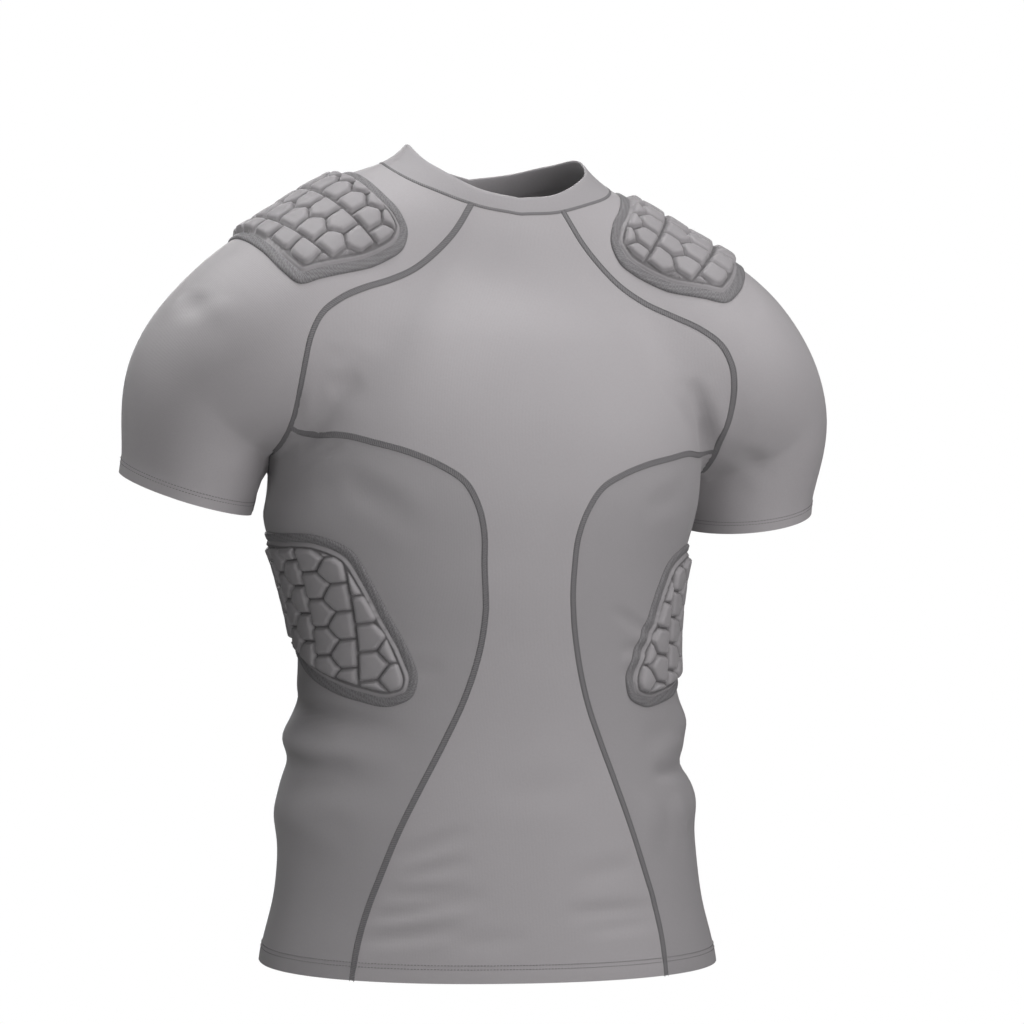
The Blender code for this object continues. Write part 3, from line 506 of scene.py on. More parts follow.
def spread(points, step, closed=False):
    """A smooth curve through points, sampled at about one step."""
    points = np.asarray(points, float)
    if closed:
        n = len(points)
        points = np.concatenate([points[-3:], points, points[:4]])
    length = lengths(points)
    first, last = (length[3], length[3 + n]) if closed else (0.0, length[-1])
    fine = np.linspace(first, last, 600)
    curve = np.stack([smooth(length, points[:, k], fine) for k in range(points.shape[1])], -1)
    run = lengths(curve)
    count = max(2, round(run[-1] / step))
    at = np.linspace(0, run[-1], count + 1)
    curve = np.stack([np.interp(at, run, curve[:, k]) for k in range(points.shape[1])], -1)
    return curve[:-1] if closed else curve


def neck_curve(which, count=96):
    """The collar's seam, 0, or top, 1, all round the neck from the front, closed."""
    around = np.linspace(0, 2 * math.pi, count, endpoint=False)
    turned = np.abs((np.degrees(around) + 180) % 360 - 180)
    height = smooth(column(COLLAR, 0, 1), column(COLLAR, 1 + which), turned)
    flat = np.stack([np.sin(around), -np.cos(around)], -1)
    rise = np.linspace(0.05, 2.6, 30)
    heading = np.concatenate([np.repeat(flat, len(rise), 0),
                              np.tile(rise, count)[:, None]], -1)
    p = FORM.cast(np.tile(NECK_MIDDLE, (len(heading), 1)), unit(heading), far=0.26, steps=26)
    tops = p[:, 2].reshape(count, -1)
    t = np.array([np.interp(h, z, rise) for h, z in zip(height, tops)])
    heading = unit(np.concatenate([flat, t[:, None]], -1))
    p = FORM.cast(np.tile(NECK_MIDDLE, (count, 1)), heading, far=0.26, steps=40)
    return np.degrees(around), p


NECK = {}


def neck_ring(angles, which):
    """Points of the collar's seam, 0, or top, 1, at these angles round from the front."""
    if which not in NECK:
        NECK[which] = neck_curve(which)
    around, p = NECK[which]
    at = np.mod(np.asarray(angles, float), 360)
    around = np.concatenate([around - 360, around, around + 360])
    p = np.concatenate([p, p, p])
    return np.stack([smooth(around, p[:, k], at) for k in range(3)], -1)


class Seams:
    """Every sewn line as points on the form. Panels on both sides share them."""

    def __init__(self, step):
        front, back = RAGLAN_ANGLE
        few = lambda mm: max(2, round(mm / step))
        self.neck_front = neck_ring(np.linspace(-front, front, few(RUNS["neck_front"]) + 1), 0)
        angles = np.linspace(back, 360 - back, few(RUNS["neck_back"]) + 1)
        self.neck_back = neck_ring(angles, 0)
        self.side = {}
        for name, sign in SIDES:
            line = {}
            angles = np.linspace(front, back, few(RUNS["neck_side"]) + 1) * sign
            line["neck"] = neck_ring(angles, 0)
            y = np.linspace(ARMPIT[0][0], ARMPIT[-1][0], few(RUNS["armpit"]) + 1) * MM
            x = smooth(column(ARMPIT, 0), column(ARMPIT, 1), y)
            start = np.stack([sign * x, y, 0 * y + ARMPIT_ABOVE * MM], -1)
            down = np.tile([0, 0, -1.0], (len(y), 1))
            line["armpit"] = FORM.cast(start, down, far=0.2, steps=160)
            tips = line["armpit"][0], line["armpit"][-1]
            ends = line["neck"][0], line["neck"][-1]
            for key, table, face, tip, top in (
                    ("raglan_front", RAGLAN_FRONT, -1.0, tips[0], ends[0]),
                    ("raglan_back", RAGLAN_BACK, 1.0, tips[1], ends[1])):
                rows = [(top[0] * sign / MM, top[2] / MM)] + table + \
                    [(tip[0] * sign / MM, tip[2] / MM)]
                line[key] = self.on_plan(spread(rows, step), sign, face, top, tip)
            for key, table, face, tip in (("side_front", SIDE_FRONT, -1.0, tips[0]),
                                          ("side_back", SIDE_BACK, 1.0, tips[1])):
                rows = [(tip[0] * sign / MM, tip[2] / MM)] + table
                line[key] = self.on_plan(spread(rows, step), sign, face, tip, None)
            chart = SideChart(sign)
            a, b = chart.flat(np.array([line["side_front"][-1], line["side_back"][-1]]))
            u = np.linspace(a[0], b[0], few(b[0] - a[0]) + 1)
            angle = np.interp(u, chart.arc, chart.angles)
            line["hem"] = hem_ring(angle * sign)
            line["hem"][0], line["hem"][-1] = line["side_front"][-1], line["side_back"][-1]
            self.side[name] = line
        self.hem_front = self.hem_run("side_front", step)
        self.hem_back = self.hem_run("side_back", step)

    def on_plan(self, rows, sign, face, first, last):
        points = PlanChart(face).point(rows * np.array([sign, 1.0]))
        if first is not None:
            points[0] = first
        if last is not None:
            points[-1] = last
        return points

    def hem_run(self, key, step):
        a, b = self.side["right"][key][-1], self.side["left"][key][-1]
        angle = [math.atan2(p[0], -p[1]) for p in (a, b)]
        if key == "side_back":
            angle[0] += 2 * math.pi
        count = max(2, round(RUNS["hem"] / step))
        ring = hem_ring(np.linspace(angle[0], angle[1], count + 1))
        ring[0], ring[-1] = a, b
        return ring


def hem_ring(angles, height=0.0):
    """Points round the form at a height over the hem's edge, in mm."""
    heading = np.stack([np.sin(angles), -np.cos(angles), 0 * angles], -1)
    return FORM.cast(np.tile([0.0, 0.0, height * MM], (len(angles), 1)), heading)


def armhole(line):
    """The seam over the shoulder, from the neck in front, under the arm, to the neck behind."""
    return np.concatenate([line["raglan_front"][:-1], line["armpit"][:-1],
                           line["raglan_back"][::-1]])


def collar_line():
    """The collar's seam, closed, from where the right raglan seam meets it."""
    front, _ = RAGLAN_ANGLE
    ring = neck_ring(np.linspace(-front, 360 - front, 96)[:-1], 0)
    return np.concatenate([ring, ring[:1]])


def inside(points, polygon):
    """Which flat points lie inside a polygon."""
    x, y = points[:, 0], points[:, 1]
    hit = np.zeros(len(points), bool)
    for (x0, y0), (x1, y1) in zip(polygon, np.roll(polygon, -1, 0)):
        cross = (y0 > y) != (y1 > y)
        if y1 != y0:
            hit ^= cross & (x < (x1 - x0) * (y - y0) / (y1 - y0) + x0)
    return hit


def distance(points, polygon):
    """How far flat points are from a polygon's sides."""
    best = np.full(len(points), 1e9)
    for a, b in zip(polygon, np.roll(polygon, -1, 0)):
        d = b - a
        t = np.clip(((points - a) @ d) / max(d @ d, 1e-12), 0, 1)
        best = np.minimum(best, np.linalg.norm(points - a - t[:, None] * d, axis=1))
    return best


def triangulate(points, count):
    """Triangles over flat points, inside the border that the first of them make."""
    edges = [(i, (i + 1) % count) for i in range(count)]
    verts, _, faces, origins, _, _ = delaunay_2d_cdt(
        [tuple(p) for p in points], edges, [], 0, 1e-4)
    if not all(origins):
        raise ValueError("two sewn lines cross in a panel")
    tri = np.array([[origins[i][0] for i in f] for f in faces])
    tri = tri[inside(points[tri].mean(1), points[:count])]
    a, b, c = points[tri[:, 0]], points[tri[:, 1]], points[tri[:, 2]]
    area = (b[:, 0] - a[:, 0]) * (c[:, 1] - a[:, 1]) - (b[:, 1] - a[:, 1]) * (c[:, 0] - a[:, 0])
    tri[area < 0] = tri[area < 0][:, ::-1]
    return tri[np.abs(area) > 1e-6]


def lattice(polygon, step, away):
    """An even field of points inside a polygon, clear of its border."""
    low, high = polygon.min(0), polygon.max(0)
    rows = np.arange(low[1] + step / 2, high[1], step * 0.866)
    pts = [(x + (step / 2 if k % 2 else 0), z) for k, z in enumerate(rows)
           for x in np.arange(low[0], high[0], step)]
    pts = np.array(pts)
    pts = pts[inside(pts, polygon)]
    return pts[distance(pts, polygon) > away * step]


def rim(tri):
    """The open sides of a sheet, each in its triangle's direction."""
    sides = {}
    for t in tri:
        for a, b in ((t[0], t[1]), (t[1], t[2]), (t[2], t[0])):
            sides[(int(a), int(b))] = True
    return [s for s in sides if (s[1], s[0]) not in sides]


def inset(points, tri, normals, by):
    """Draws a sheet's border in along its surface."""
    points = points.copy()
    pull = {}
    for a, b in rim(tri):
        n = unit(normals[a] + normals[b])
        inward = unit(np.cross(n, points[b] - points[a]))
        pull.setdefault(a, []).append(inward)
        pull.setdefault(b, []).append(inward)
    moved = {}
    for i, ways in pull.items():
        if len(ways) == 2:
            moved[i] = (ways[0] + ways[1]) / max(1 + ways[0] @ ways[1], 0.35)
        else:
            moved[i] = unit(sum(ways))
    for i, way in moved.items():
        points[i] += way * by
    return points


def shell(low, high, tri):
    """A closed body between two sheets of the same triangles: the high one faces out.

    An edge wall is halved from its lower end, so two panels' walls along a seam stay apart.
    """
    used = np.unique(tri)
    index = np.full(len(high), -1)
    index[used] = np.arange(len(used))
    tri = index[tri]
    count = len(used)
    faces = [tuple(t) for t in tri] + [tuple(t[::-1] + count) for t in tri]
    order = high[used] @ np.array([0.31, 0.53, 0.79])
    for a, b in rim(tri):
        if order[a] > order[b]:
            faces += [(b, a, a + count), (b, a + count, b + count)]
        else:
            faces += [(b, a, b + count), (a, a + count, b + count)]
    return np.concatenate([high[used], low[used]]), faces


def clip(polygon, region, by=0.0):
    """A convex polygon cut to a convex region whose sides are moved in, anticlockwise."""
    polygon = [np.asarray(p, float) for p in polygon]
    for a, b in zip(region, np.roll(region, -1, 0)):
        d = unit(b - a)
        a = a + np.array([-d[1], d[0]]) * by
        side = lambda p: d[0] * (p[1] - a[1]) - d[1] * (p[0] - a[0])
        out = []
        for p, q in zip(polygon, polygon[1:] + polygon[:1]):
            sp, sq = side(p), side(q)
            if sp >= 0:
                out.append(p)
            if sp * sq < 0:
                out.append(p + (q - p) * (sp / (sp - sq)))
        polygon = out
        if not polygon:
            return []
    return tidy(polygon)


def hull(points):
    """The convex outline of flat points, anticlockwise."""
    pts = sorted(map(tuple, points))
    half = []
    for run in (pts, pts[::-1]):
        chain = []
        for p in run:
            while len(chain) > 1 and ((chain[-1][0] - chain[-2][0]) * (p[1] - chain[-2][1])
                                      - (chain[-1][1] - chain[-2][1]) * (p[0] - chain[-2][0])) <= 0:
                chain.pop()
            chain.append(p)
        half += chain[:-1]
    return np.array(half)


def tidy(polygon):
    """Joins corners that are too close."""
    out = []
    for p in polygon:
        if not out or np.linalg.norm(p - out[-1]) > LEAST_SIDE:
            out.append(p)
    if len(out) > 2 and np.linalg.norm(out[0] - out[-1]) <= LEAST_SIDE:
        out.pop()
    return out


def shrink(polygon, by):
    """A convex polygon with each side moved in."""
    return np.array(clip(polygon, np.array(polygon), by))


def dense(polygon, step=12.0):
    """A polygon with its long sides divided."""
    out = []
    for a, b in zip(polygon, np.roll(polygon, -1, 0)):
        count = max(1, math.ceil(np.linalg.norm(b - a) / step))
        out += [a + (b - a) * k / count for k in range(count)]
    return np.array(out)


def cells(region, start, cell):
    """Five-sided cells: straight lines, the first at start, and zigzag lines in turn."""
    wide, pitch, zig = cell["column"], cell["pitch"], cell["zigzag"]
    low, high = region.min(0), region.max(0)
    out = []
    first = math.floor((low[0] - start) / (2 * wide))
    last = math.ceil((high[0] - start) / (2 * wide))
    for pair in range(first, last + 1):
        u = start + pair * 2 * wide
        for k in range(-1, math.ceil((high[1] - low[1]) / pitch) + 1):
            v = low[1] + k * pitch
            m, o = u + wide - zig, u + wide + zig
            one = [(u, v), (m, v), (o, v + pitch / 2), (m, v + pitch), (u, v + pitch)]
            v += pitch / 2
            two = [(u + 2 * wide, v), (u + 2 * wide, v + pitch), (o, v + pitch),
                   (m, v + pitch / 2), (o, v)]
            for shape in (clip(one, region), clip(two, region)):
                if len(shape) > 2 and len(shrink(shape, LEAST_CELL)) > 2:
                    out.append(shape)
    return out


def pose(p):
    """The worn pose: the hem's twist, a lean and a raised shoulder. Origin at the shoulders."""
    aside = smooth(column(DRIFT, 0), column(DRIFT, 1), p[:, 2])
    # The right shoulder is raised, the hem dips in front, and the sleeves drift further.
    lift = RAISED_SHOULDER * MM * np.exp(-((p[:, 0] + 0.14) / 0.05)**2) \
        * np.clip((p[:, 2] - 0.45) / 0.1, 0, 1)
    dip = FRONT_DIP * MM * p[:, 1] / 0.11 * np.clip(1 - p[:, 2] / 0.25, 0, 1)
    out = np.clip((np.abs(p[:, 0]) - 0.165) / 0.06, 0, 1)
    aside = aside + ARM_SHIFT * MM * out * out * (3 - 2 * out) \
        * np.clip((p[:, 2] - 0.3) / 0.05, 0, 1)
    x, y, z = p[:, 0] + aside, p[:, 1], p[:, 2] + lift + dip
    # The hem is twisted, and the form leans from its waist up.
    turn = math.radians(TWIST_DEG) * (1 - np.clip(z / 0.30, 0, 1))
    x, y = x * np.cos(turn) - y * np.sin(turn), x * np.sin(turn) + y * np.cos(turn)
    t = np.clip((z - 0.15) / 0.30, 0, 1)
    lean = math.radians(LEAN_DEG) * t * t * (3 - 2 * t)
    over = np.maximum(z - 0.25, 0)
    return np.stack([x * np.cos(lean) + over * np.sin(lean), y,
                     z - x * np.sin(lean) - SHOULDER_LEVEL], -1)


class Creases:
    """The listed creases as lines that follow the form."""

    def __init__(self, rows):
        self.rows = []
        for x0, y0, z0, x1, y1, z1, half_width, push in rows:
            a, b = np.array([x0, y0, z0]) * MM, np.array([x1, y1, z1]) * MM
            path = FORM.settle(a + (b - a) * np.linspace(0, 1, CREASE_POINTS)[:, None])
            self.rows.append((path, half_width * MM, push * MM))

    def __call__(self, p):
        """A soft trough with a low ridge beside it, or the reverse, that dies out at its ends."""
        out = np.zeros(len(p))
        for path, half_width, push in self.rows:
            reach = 4 * half_width
            near = np.all((p > path.min(0) - reach) & (p < path.max(0) + reach), axis=1)
            if not near.any():
                continue
            q = p[near]
            best, where = np.full(len(q), 1e9), np.zeros(len(q))
            for k, (a, b) in enumerate(zip(path[:-1], path[1:])):
                d = b - a
                t = np.clip((q - a) @ d / max(d @ d, 1e-12), 0, 1)
                away = np.linalg.norm(q - a - t[:, None] * d, axis=1)
                nearer = away < best
                best[nearer] = away[nearer]
                where[nearer] = ((k + t) / (len(path) - 1))[nearer]
            t = best / half_width
            fade = np.sin(np.pi * np.clip(where, 0.0, 1.0)) ** 0.8
            ridge = np.exp(-((t - RIDGE_ASIDE) / RIDGE_WIDTH)**2)
            out[near] += push * fade * (np.exp(-t * t) - RIDGE * ridge)
        return out


CREASE = Creases(CREASES)


def worn(points, out=0.0):
    """Points of the form with the creases, a little further out, in the worn pose."""
    push = CREASE(points) + out
    return pose(points + FORM.normal(points) * np.reshape(push, (-1, 1)))


def piece(name, points, faces, material, uv=None, sharp=50.0):
    """A named object at the origin, smooth but for its sharp edges."""
    mesh = bpy.data.meshes.new(name)
    mesh.from_pydata(np.asarray(points).tolist(), [], [tuple(map(int, f)) for f in faces])
    mesh.polygons.foreach_set("use_smooth", np.ones(len(mesh.polygons), bool))
    mesh.set_sharp_from_angle(angle=math.radians(sharp))
    if uv is not None:
        layer = mesh.uv_layers.new(name="cut")
        index = np.empty(len(mesh.loops), np.int32)
        mesh.loops.foreach_get("vertex_index", index)
        layer.data.foreach_set("uv", np.asarray(uv, np.float32)[index].ravel())
    obj = bpy.data.objects.new(name, mesh)
    mesh.materials.append(material)
    bpy.context.scene.collection.objects.link(obj)
    return obj


def facing(points, tri, normals):
    """A sheet's triangles, turned to face along its normals."""
    p = points[tri]
    n = np.cross(p[:, 1] - p[:, 0], p[:, 2] - p[:, 0])
    return tri[:, ::-1] if (n * normals[tri].mean(1)).sum() < 0 else tri


def calm(points, tri, kept, far):
    """Brings back inner points that a chart threw far from their neighbours."""
    pairs = np.concatenate([tri[:, [0, 1]], tri[:, [1, 2]], tri[:, [2, 0]]])
    pairs = np.concatenate([pairs, pairs[:, ::-1]])
    stray = np.zeros(len(points), bool)
    for _ in range(4):
        long = np.linalg.norm(points[pairs[:, 0]] - points[pairs[:, 1]], axis=1) > far
        count = np.bincount(pairs[long, 0], minlength=len(points))
        total = np.bincount(pairs[:, 0], minlength=len(points))
        stray |= (count * 2 >= np.maximum(total, 1)) & (count > 0)
        stray[:kept] = False
        if not stray.any():
            return points
    points = points.copy()
    for _ in range(40):
        good = pairs[stray[pairs[:, 0]]]
        sums = np.zeros((len(points), 3))
        np.add.at(sums, good[:, 0], points[good[:, 1]])
        n = np.bincount(good[:, 0], minlength=len(points))
        points[stray] = sums[stray] / n[stray, None]
    points[stray] = FORM.settle(points[stray], 6)
    return points


class Panel:
    """One cut piece at the scene's fine step: its border on the form, and even points."""

    def __init__(self, border, chart, step, flat=None, merge=()):
        flat = chart.flat(border) if flat is None else flat
        uv = np.concatenate([flat, lattice(flat, step, 0.55)])
        tri = triangulate(uv, len(flat))
        points = np.concatenate([border, chart.point(uv[len(flat):])])
        for drop, keep in merge:
            tri = np.where(tri == drop, keep, tri)
        self.uv, self.points = uv, calm(points, tri, len(flat), 3.2 * step * MM)
        self.normals = FORM.normal(self.points)
        self.tri = facing(self.points, tri, self.normals)

    def cloth(self, name, wall, material, fold):
        """The panel as a closed wall of cloth, creased and posed, doubled where it is folded."""
        points = inset(self.points, self.tri, self.normals, SEAM_GAP / 2)
        push = CREASE(self.points)
        high = points + self.normals * (push + fold * FOLD_OUT * MM)[:, None]
        low = points + self.normals * (push - wall - fold * FOLD_IN * MM)[:, None]
        used = np.unique(self.tri)
        solid, faces = shell(low, high, self.tri)
        uv = np.concatenate([self.uv[used]] * 2) * MM
        return piece(name, pose(solid), faces, material, uv)


def join(*runs):
    """Seam runs end to end as one closed border."""
    out = []
    for run in runs:
        out += list(run[:-1])
    return np.array(out)


def hem_fold(points):
    """How far each point is into the folded hem, from 0 to 1."""
    return step_up((HEM - points[:, 2] / MM) / FOLD_EDGE)


def torso_panel(which):
    right, left = SEAMS.side["right"], SEAMS.side["left"]
    if which == "front":
        border = join(SEAMS.neck_front, left["raglan_front"], left["side_front"],
                      SEAMS.hem_front[::-1], right["side_front"][::-1],
                      right["raglan_front"][::-1])
        return Panel(border, PlanChart(-1.0), STEP)
    border = join(SEAMS.neck_back, right["raglan_back"], right["side_back"],
                  SEAMS.hem_back, left["side_back"][::-1], left["raglan_back"][::-1])
    return Panel(border, PlanChart(1.0), STEP)


def side_panel(name, sign):
    line = SEAMS.side[name]
    border = join(line["armpit"], line["side_back"], line["hem"][::-1],
                  line["side_front"][::-1])
    return Panel(border, SideChart(sign), STEP)


def cuff_line(back_from_edge, count):
    """Flat points round the sleeve at a distance from the cuff's edge, from +180 to -180 deg."""
    angle = np.linspace(1, -1, count) * math.pi * SleeveChart.ROUND
    along = CUFF["along"] + CUFF["rise"] * np.cos(angle / SleeveChart.ROUND) - back_from_edge
    return np.stack([along, angle], -1)


def sleeve_panel(name, sign):
    """The sleeve's border runs front, under the arm along its own seam, cuff and back."""
    line, chart = SEAMS.side[name], SleeveChart(sign)
    front, back, pit = line["raglan_front"], line["raglan_back"], line["armpit"]
    pit_flat = chart.flat(pit)
    turn = math.pi * chart.ROUND
    split = int(np.abs(np.abs(pit_flat[:, 1]) - turn).argmin())
    start = pit_flat[split, 0]
    cuff_flat = cuff_line(0.0, max(8, round(RUNS["cuff"] / SEAM_STEP)) + 1)
    inner = np.linspace(start, cuff_flat[0, 0],
                        max(2, round((cuff_flat[0, 0] - start) / SEAM_STEP)) + 1)
    inner = np.stack([inner, np.full(len(inner), turn)], -1)[1:-1]
    down, up = chart.point(inner), chart.point(cuff_flat[:-1])
    front_run = join(front, pit[:split + 1])
    front_flat = chart.flat(front_run)
    front_flat[front_flat[:, 1] < -turn * 0.5, 1] += 2 * turn
    back_run = join(pit[split:], back[::-1])[1:]
    back_flat = chart.flat(back_run)
    back_flat[back_flat[:, 1] > turn * 0.5, 1] -= 2 * turn
    neck_run = line["neck"][::-1][:-1]
    corner = np.array([[start, turn]])
    mirror = np.array([1.0, -1.0])
    flat = np.concatenate([front_flat, corner, inner, cuff_flat, inner[::-1] * mirror,
                           corner * mirror, back_flat, chart.flat(neck_run)])
    border = np.concatenate([front_run, pit[split:split + 1], down, up, up[:1], down[::-1],
                             pit[split:split + 1], back_run, neck_run])
    a, m = len(front_flat), len(inner)
    first = a + 1 + m
    last = first + len(cuff_flat) - 1
    merge = [(last + 1 + m, a), (last, first)]
    merge += [(last + 1 + k, first - 1 - k) for k in range(m)]
    SEAMS.side[name]["under_arm"] = np.concatenate([pit[split:split + 1], down, up[:1]])
    return Panel(border, chart, STEP, flat=flat, merge=merge)


def collar_mesh(wall, material):
    """The folded band round the neck: rows out, over its rounded top, and down inside."""
    front, _ = RAGLAN_ANGLE
    angles = np.linspace(-front, 360 - front, 120, endpoint=False)
    low, high = neck_ring(angles, 0), neck_ring(angles, 1)
    # Each row of the section: how far up the band, and how far out, in mm for a 1.9 mm band.
    section = [(v, 0.30 + 0.25 * math.sin(math.pi * v)) for v in np.linspace(0, 0.93, 7)]
    section += [(0.985, -0.05), (1.0, -0.95), (0.985, -1.75)]
    section += [(v, -1.95) for v in np.linspace(0.93, 0.0, 6)]
    rings = []
    for v, out in section:
        p = low + (high - low) * v
        p = FORM.cast(np.tile(NECK_MIDDLE, (len(p), 1)), unit(p - NECK_MIDDLE), far=0.26)
        rings.append(pose(p + FORM.normal(p) * out * wall / 1.9))
    n, rows = len(angles), len(rings)
    faces = [(r * n + i, r * n + (i + 1) % n, ((r + 1) % rows) * n + (i + 1) % n,
              ((r + 1) % rows) * n + i) for r in range(rows) for i in range(n)]
    around = lengths(low)
    uv = np.concatenate([np.stack([around, np.full(n, v * COLLAR_BAND * MM)], -1)
                         for v, _ in section])
    obj = piece("collar_cloth", np.concatenate(rings), faces, material, uv, sharp=70)
    return face_out(obj)


def face_out(obj):
    """Turns a closed piece's faces outwards where its volume comes out negative."""
    mesh = obj.data
    mesh.calc_loop_triangles()
    p = np.empty(len(mesh.vertices) * 3)
    mesh.vertices.foreach_get("co", p)
    p = p.reshape(-1, 3)
    tri = np.empty(len(mesh.loop_triangles) * 3, np.int32)
    mesh.loop_triangles.foreach_get("vertices", tri)
    a, b, c = p[tri.reshape(-1, 3)].transpose(1, 0, 2)
    if np.einsum("ij,ij->i", a, np.cross(b, c)).sum() < 0:
        mesh.flip_normals()
    return obj


def band(name, runs, width, rise, material):
    """A flat sewn band along lines of the form, its edges tucked into the cloth."""
    across = np.array([-1.0, -0.9, -0.45, 0.0, 0.45, 0.9, 1.0])
    height = np.array([-0.25, 0.7, 1.0, 0.9, 1.0, 0.7, -0.25]) * rise
    points, faces, uv = [], [], []
    base = 0
    for path in runs:
        closed = np.linalg.norm(path[0] - path[-1]) < 1e-6
        if closed:
            path = path[:-1]
        ahead = unit(np.roll(path, -1, 0) - np.roll(path, 1, 0)) if closed \
            else unit(np.gradient(path, axis=0))
        normal = FORM.normal(path)
        side = unit(np.cross(normal, ahead))
        run = lengths(path)
        rows = []
        for u, h in zip(across, height):
            rows.append((u, worn(FORM.settle(path + side * u * width * MM / 2), h * MM)))
        rows += [(0.5, worn(FORM.settle(path + side * 0.25 * width * MM), -0.7 * MM)),
                 (-0.5, worn(FORM.settle(path - side * 0.25 * width * MM), -0.7 * MM))]
        n, m = len(path), len(rows)
        for u, row in rows:
            points.append(row)
            uv.append(np.stack([np.full(n, (u + 1) / 2 * width * MM), run], -1))
        for i in range(n if closed else n - 1):
            j = (i + 1) % n
            for r in range(m):
                s = (r + 1) % m
                faces.append((base + r * n + i, base + r * n + j, base + s * n + j,
                              base + s * n + i))
        if not closed:
            faces.append(tuple(base + r * n for r in range(m)))
            faces.append(tuple(base + r * n + n - 1 for r in range(m))[::-1])
        base += n * m
    obj = piece(name, np.concatenate(points), faces, material, np.concatenate(uv))
    return face_out(obj)


def beside(path, out):
    """A line of the form moved sideways along it, in mm."""
    ahead = unit(np.gradient(path, axis=0))
    side = unit(np.cross(FORM.normal(path), ahead))
    return FORM.settle(path + side * out * MM)


def cell_depth(flat, shapes, start, wide):
    """How far flat points of a pad are inside their cell's edge, in mm, minus in a groove."""
    best = np.full(len(flat), -9.0)
    for shape in shapes:
        shape = np.array(shape)
        inner = np.zeros(len(flat))
        least = np.full(len(flat), 1e9)
        for a, b in zip(shape, np.roll(shape, -1, 0)):
            d = unit(b - a)
            away = d[0] * (flat[:, 1] - a[1]) - d[1] * (flat[:, 0] - a[0])
            mid = 0.5 * (a + b)[0] - start
            straight = abs(d[0]) < 0.2 and abs(mid - wide * round(mid / wide)) < 1.0
            away = away - (GROOVE_WIDTH["straight"] if straight else GROOVE_WIDTH["other"]) / 2
            inner += np.exp(-away / CORNER)
            least = np.minimum(least, away)
        soft = np.where(least > -3, -CORNER * np.log(np.maximum(inner, 1e-9)), least)
        best = np.maximum(best, soft)
    return best


def on_grid(chart, flat, step=7.0):
    """Points of a chart by way of a coarse grid, brought onto the form."""
    low, high = flat.min(0) - step, flat.max(0) + step
    nu, nv = np.ceil((high - low) / step).astype(int) + 1
    u, v = low[0] + step * np.arange(nu), low[1] + step * np.arange(nv)
    grid = np.stack(np.meshgrid(u, v, indexing="ij"), -1).reshape(-1, 2)
    grid = chart.point(grid).reshape(nu, nv, 3)
    q = (flat - low) / step
    i = np.clip(q.astype(int), 0, [nu - 2, nv - 2])
    f = (q - i)[:, :, None]
    a = grid[i[:, 0], i[:, 1]] * (1 - f[:, 0]) + grid[i[:, 0] + 1, i[:, 1]] * f[:, 0]
    b = grid[i[:, 0], i[:, 1] + 1] * (1 - f[:, 0]) + grid[i[:, 0] + 1, i[:, 1] + 1] * f[:, 0]
    return FORM.settle(a * (1 - f[:, 1]) + b * f[:, 1])


def pad_mesh(name, chart, outline, start, cell, material):
    """A pad: a sewn border, a plain margin and raised cells, over a plain underside."""
    whole = hull(outline)
    shapes = cells(shrink(whole, CELL_MARGIN), start, cell)
    rings = [dense(shrink(whole, by), BORDER_STEP) for by in BORDER_LINES]
    for shape in shapes:
        for by in CELL_LINES:
            ring = shrink(shape, by)
            if len(ring) > 2:
                rings.append(dense(ring, PAD_STEP))
    rings = np.concatenate(rings)
    rings = rings[inside(rings, outline)]
    rings = rings[distance(rings, outline) > CLEAR]
    field = lattice(outline, PAD_STEP, 0.5)
    taken = np.zeros(len(field), bool)
    for part in np.array_split(np.arange(len(field)), max(1, len(field) // 500)):
        gap = np.linalg.norm(field[part][:, None] - rings[None], axis=2).min(1)
        taken[part] = gap < 0.55 * PAD_STEP
    flat = np.concatenate([outline, rings, field[~taken]])
    points = on_grid(chart, flat)
    normals = FORM.normal(points)
    tri = facing(points, triangulate(flat, len(outline)), normals)
    edge = distance(flat, outline)
    edge[:len(outline)] = 0
    border = THIN_EDGE + (PAD_EDGE - THIN_EDGE) * step_up(edge / EDGE_ROUND)
    dip = np.exp(-((edge - BORDER) / DIP_WIDTH)**2) * DIP
    margin = (GROOVE_FLOOR + MARGIN_OVER - PAD_EDGE) * step_up((edge - BORDER) / MARGIN_RISE)
    inner = cell_depth(flat, shapes, start, 2 * cell["column"])
    swell = 1 - (1 - np.clip(inner / RIM, 0, 1))**ROUNDNESS
    raised = swell * (CELL_TOP - GROOVE_FLOOR) + CROWN * np.clip(inner / CROWN_REACH, 0, 1)
    groove = -GROOVE_DIP * np.exp(-((inner + 0.3) / GROOVE_HALF)**2) * (edge > CELL_MARGIN - 2)
    height = (border - dip + margin + raised + groove) * MM
    push = CREASE(points)
    high = points + normals * (push + height + PAD_OVER * MM)[:, None]
    low = points + normals * (push + PAD_UNDER * MM)[:, None]
    solid, faces = shell(low, high, tri)
    around = lengths(outline)
    nearest = np.array([np.linalg.norm(outline - q, axis=1).argmin() for q in flat])
    uv = np.stack([around[nearest], edge], -1) * MM
    # Painted shade: the cell value darkens the cloth down in the grooves between the cells, and all
    # over the underside at -0.5.
    raised = np.clip(inner, -3, 6) / 6
    obj = piece(name, pose(solid), faces, material, np.concatenate([uv, uv]), sharp=75)
    layer = obj.data.attributes.new("cell", "FLOAT", "POINT")
    layer.data.foreach_set("value", np.concatenate([raised, raised * 0 - 0.5]).astype(np.float32))
    return obj


SEAMS = Seams(SEAM_STEP)


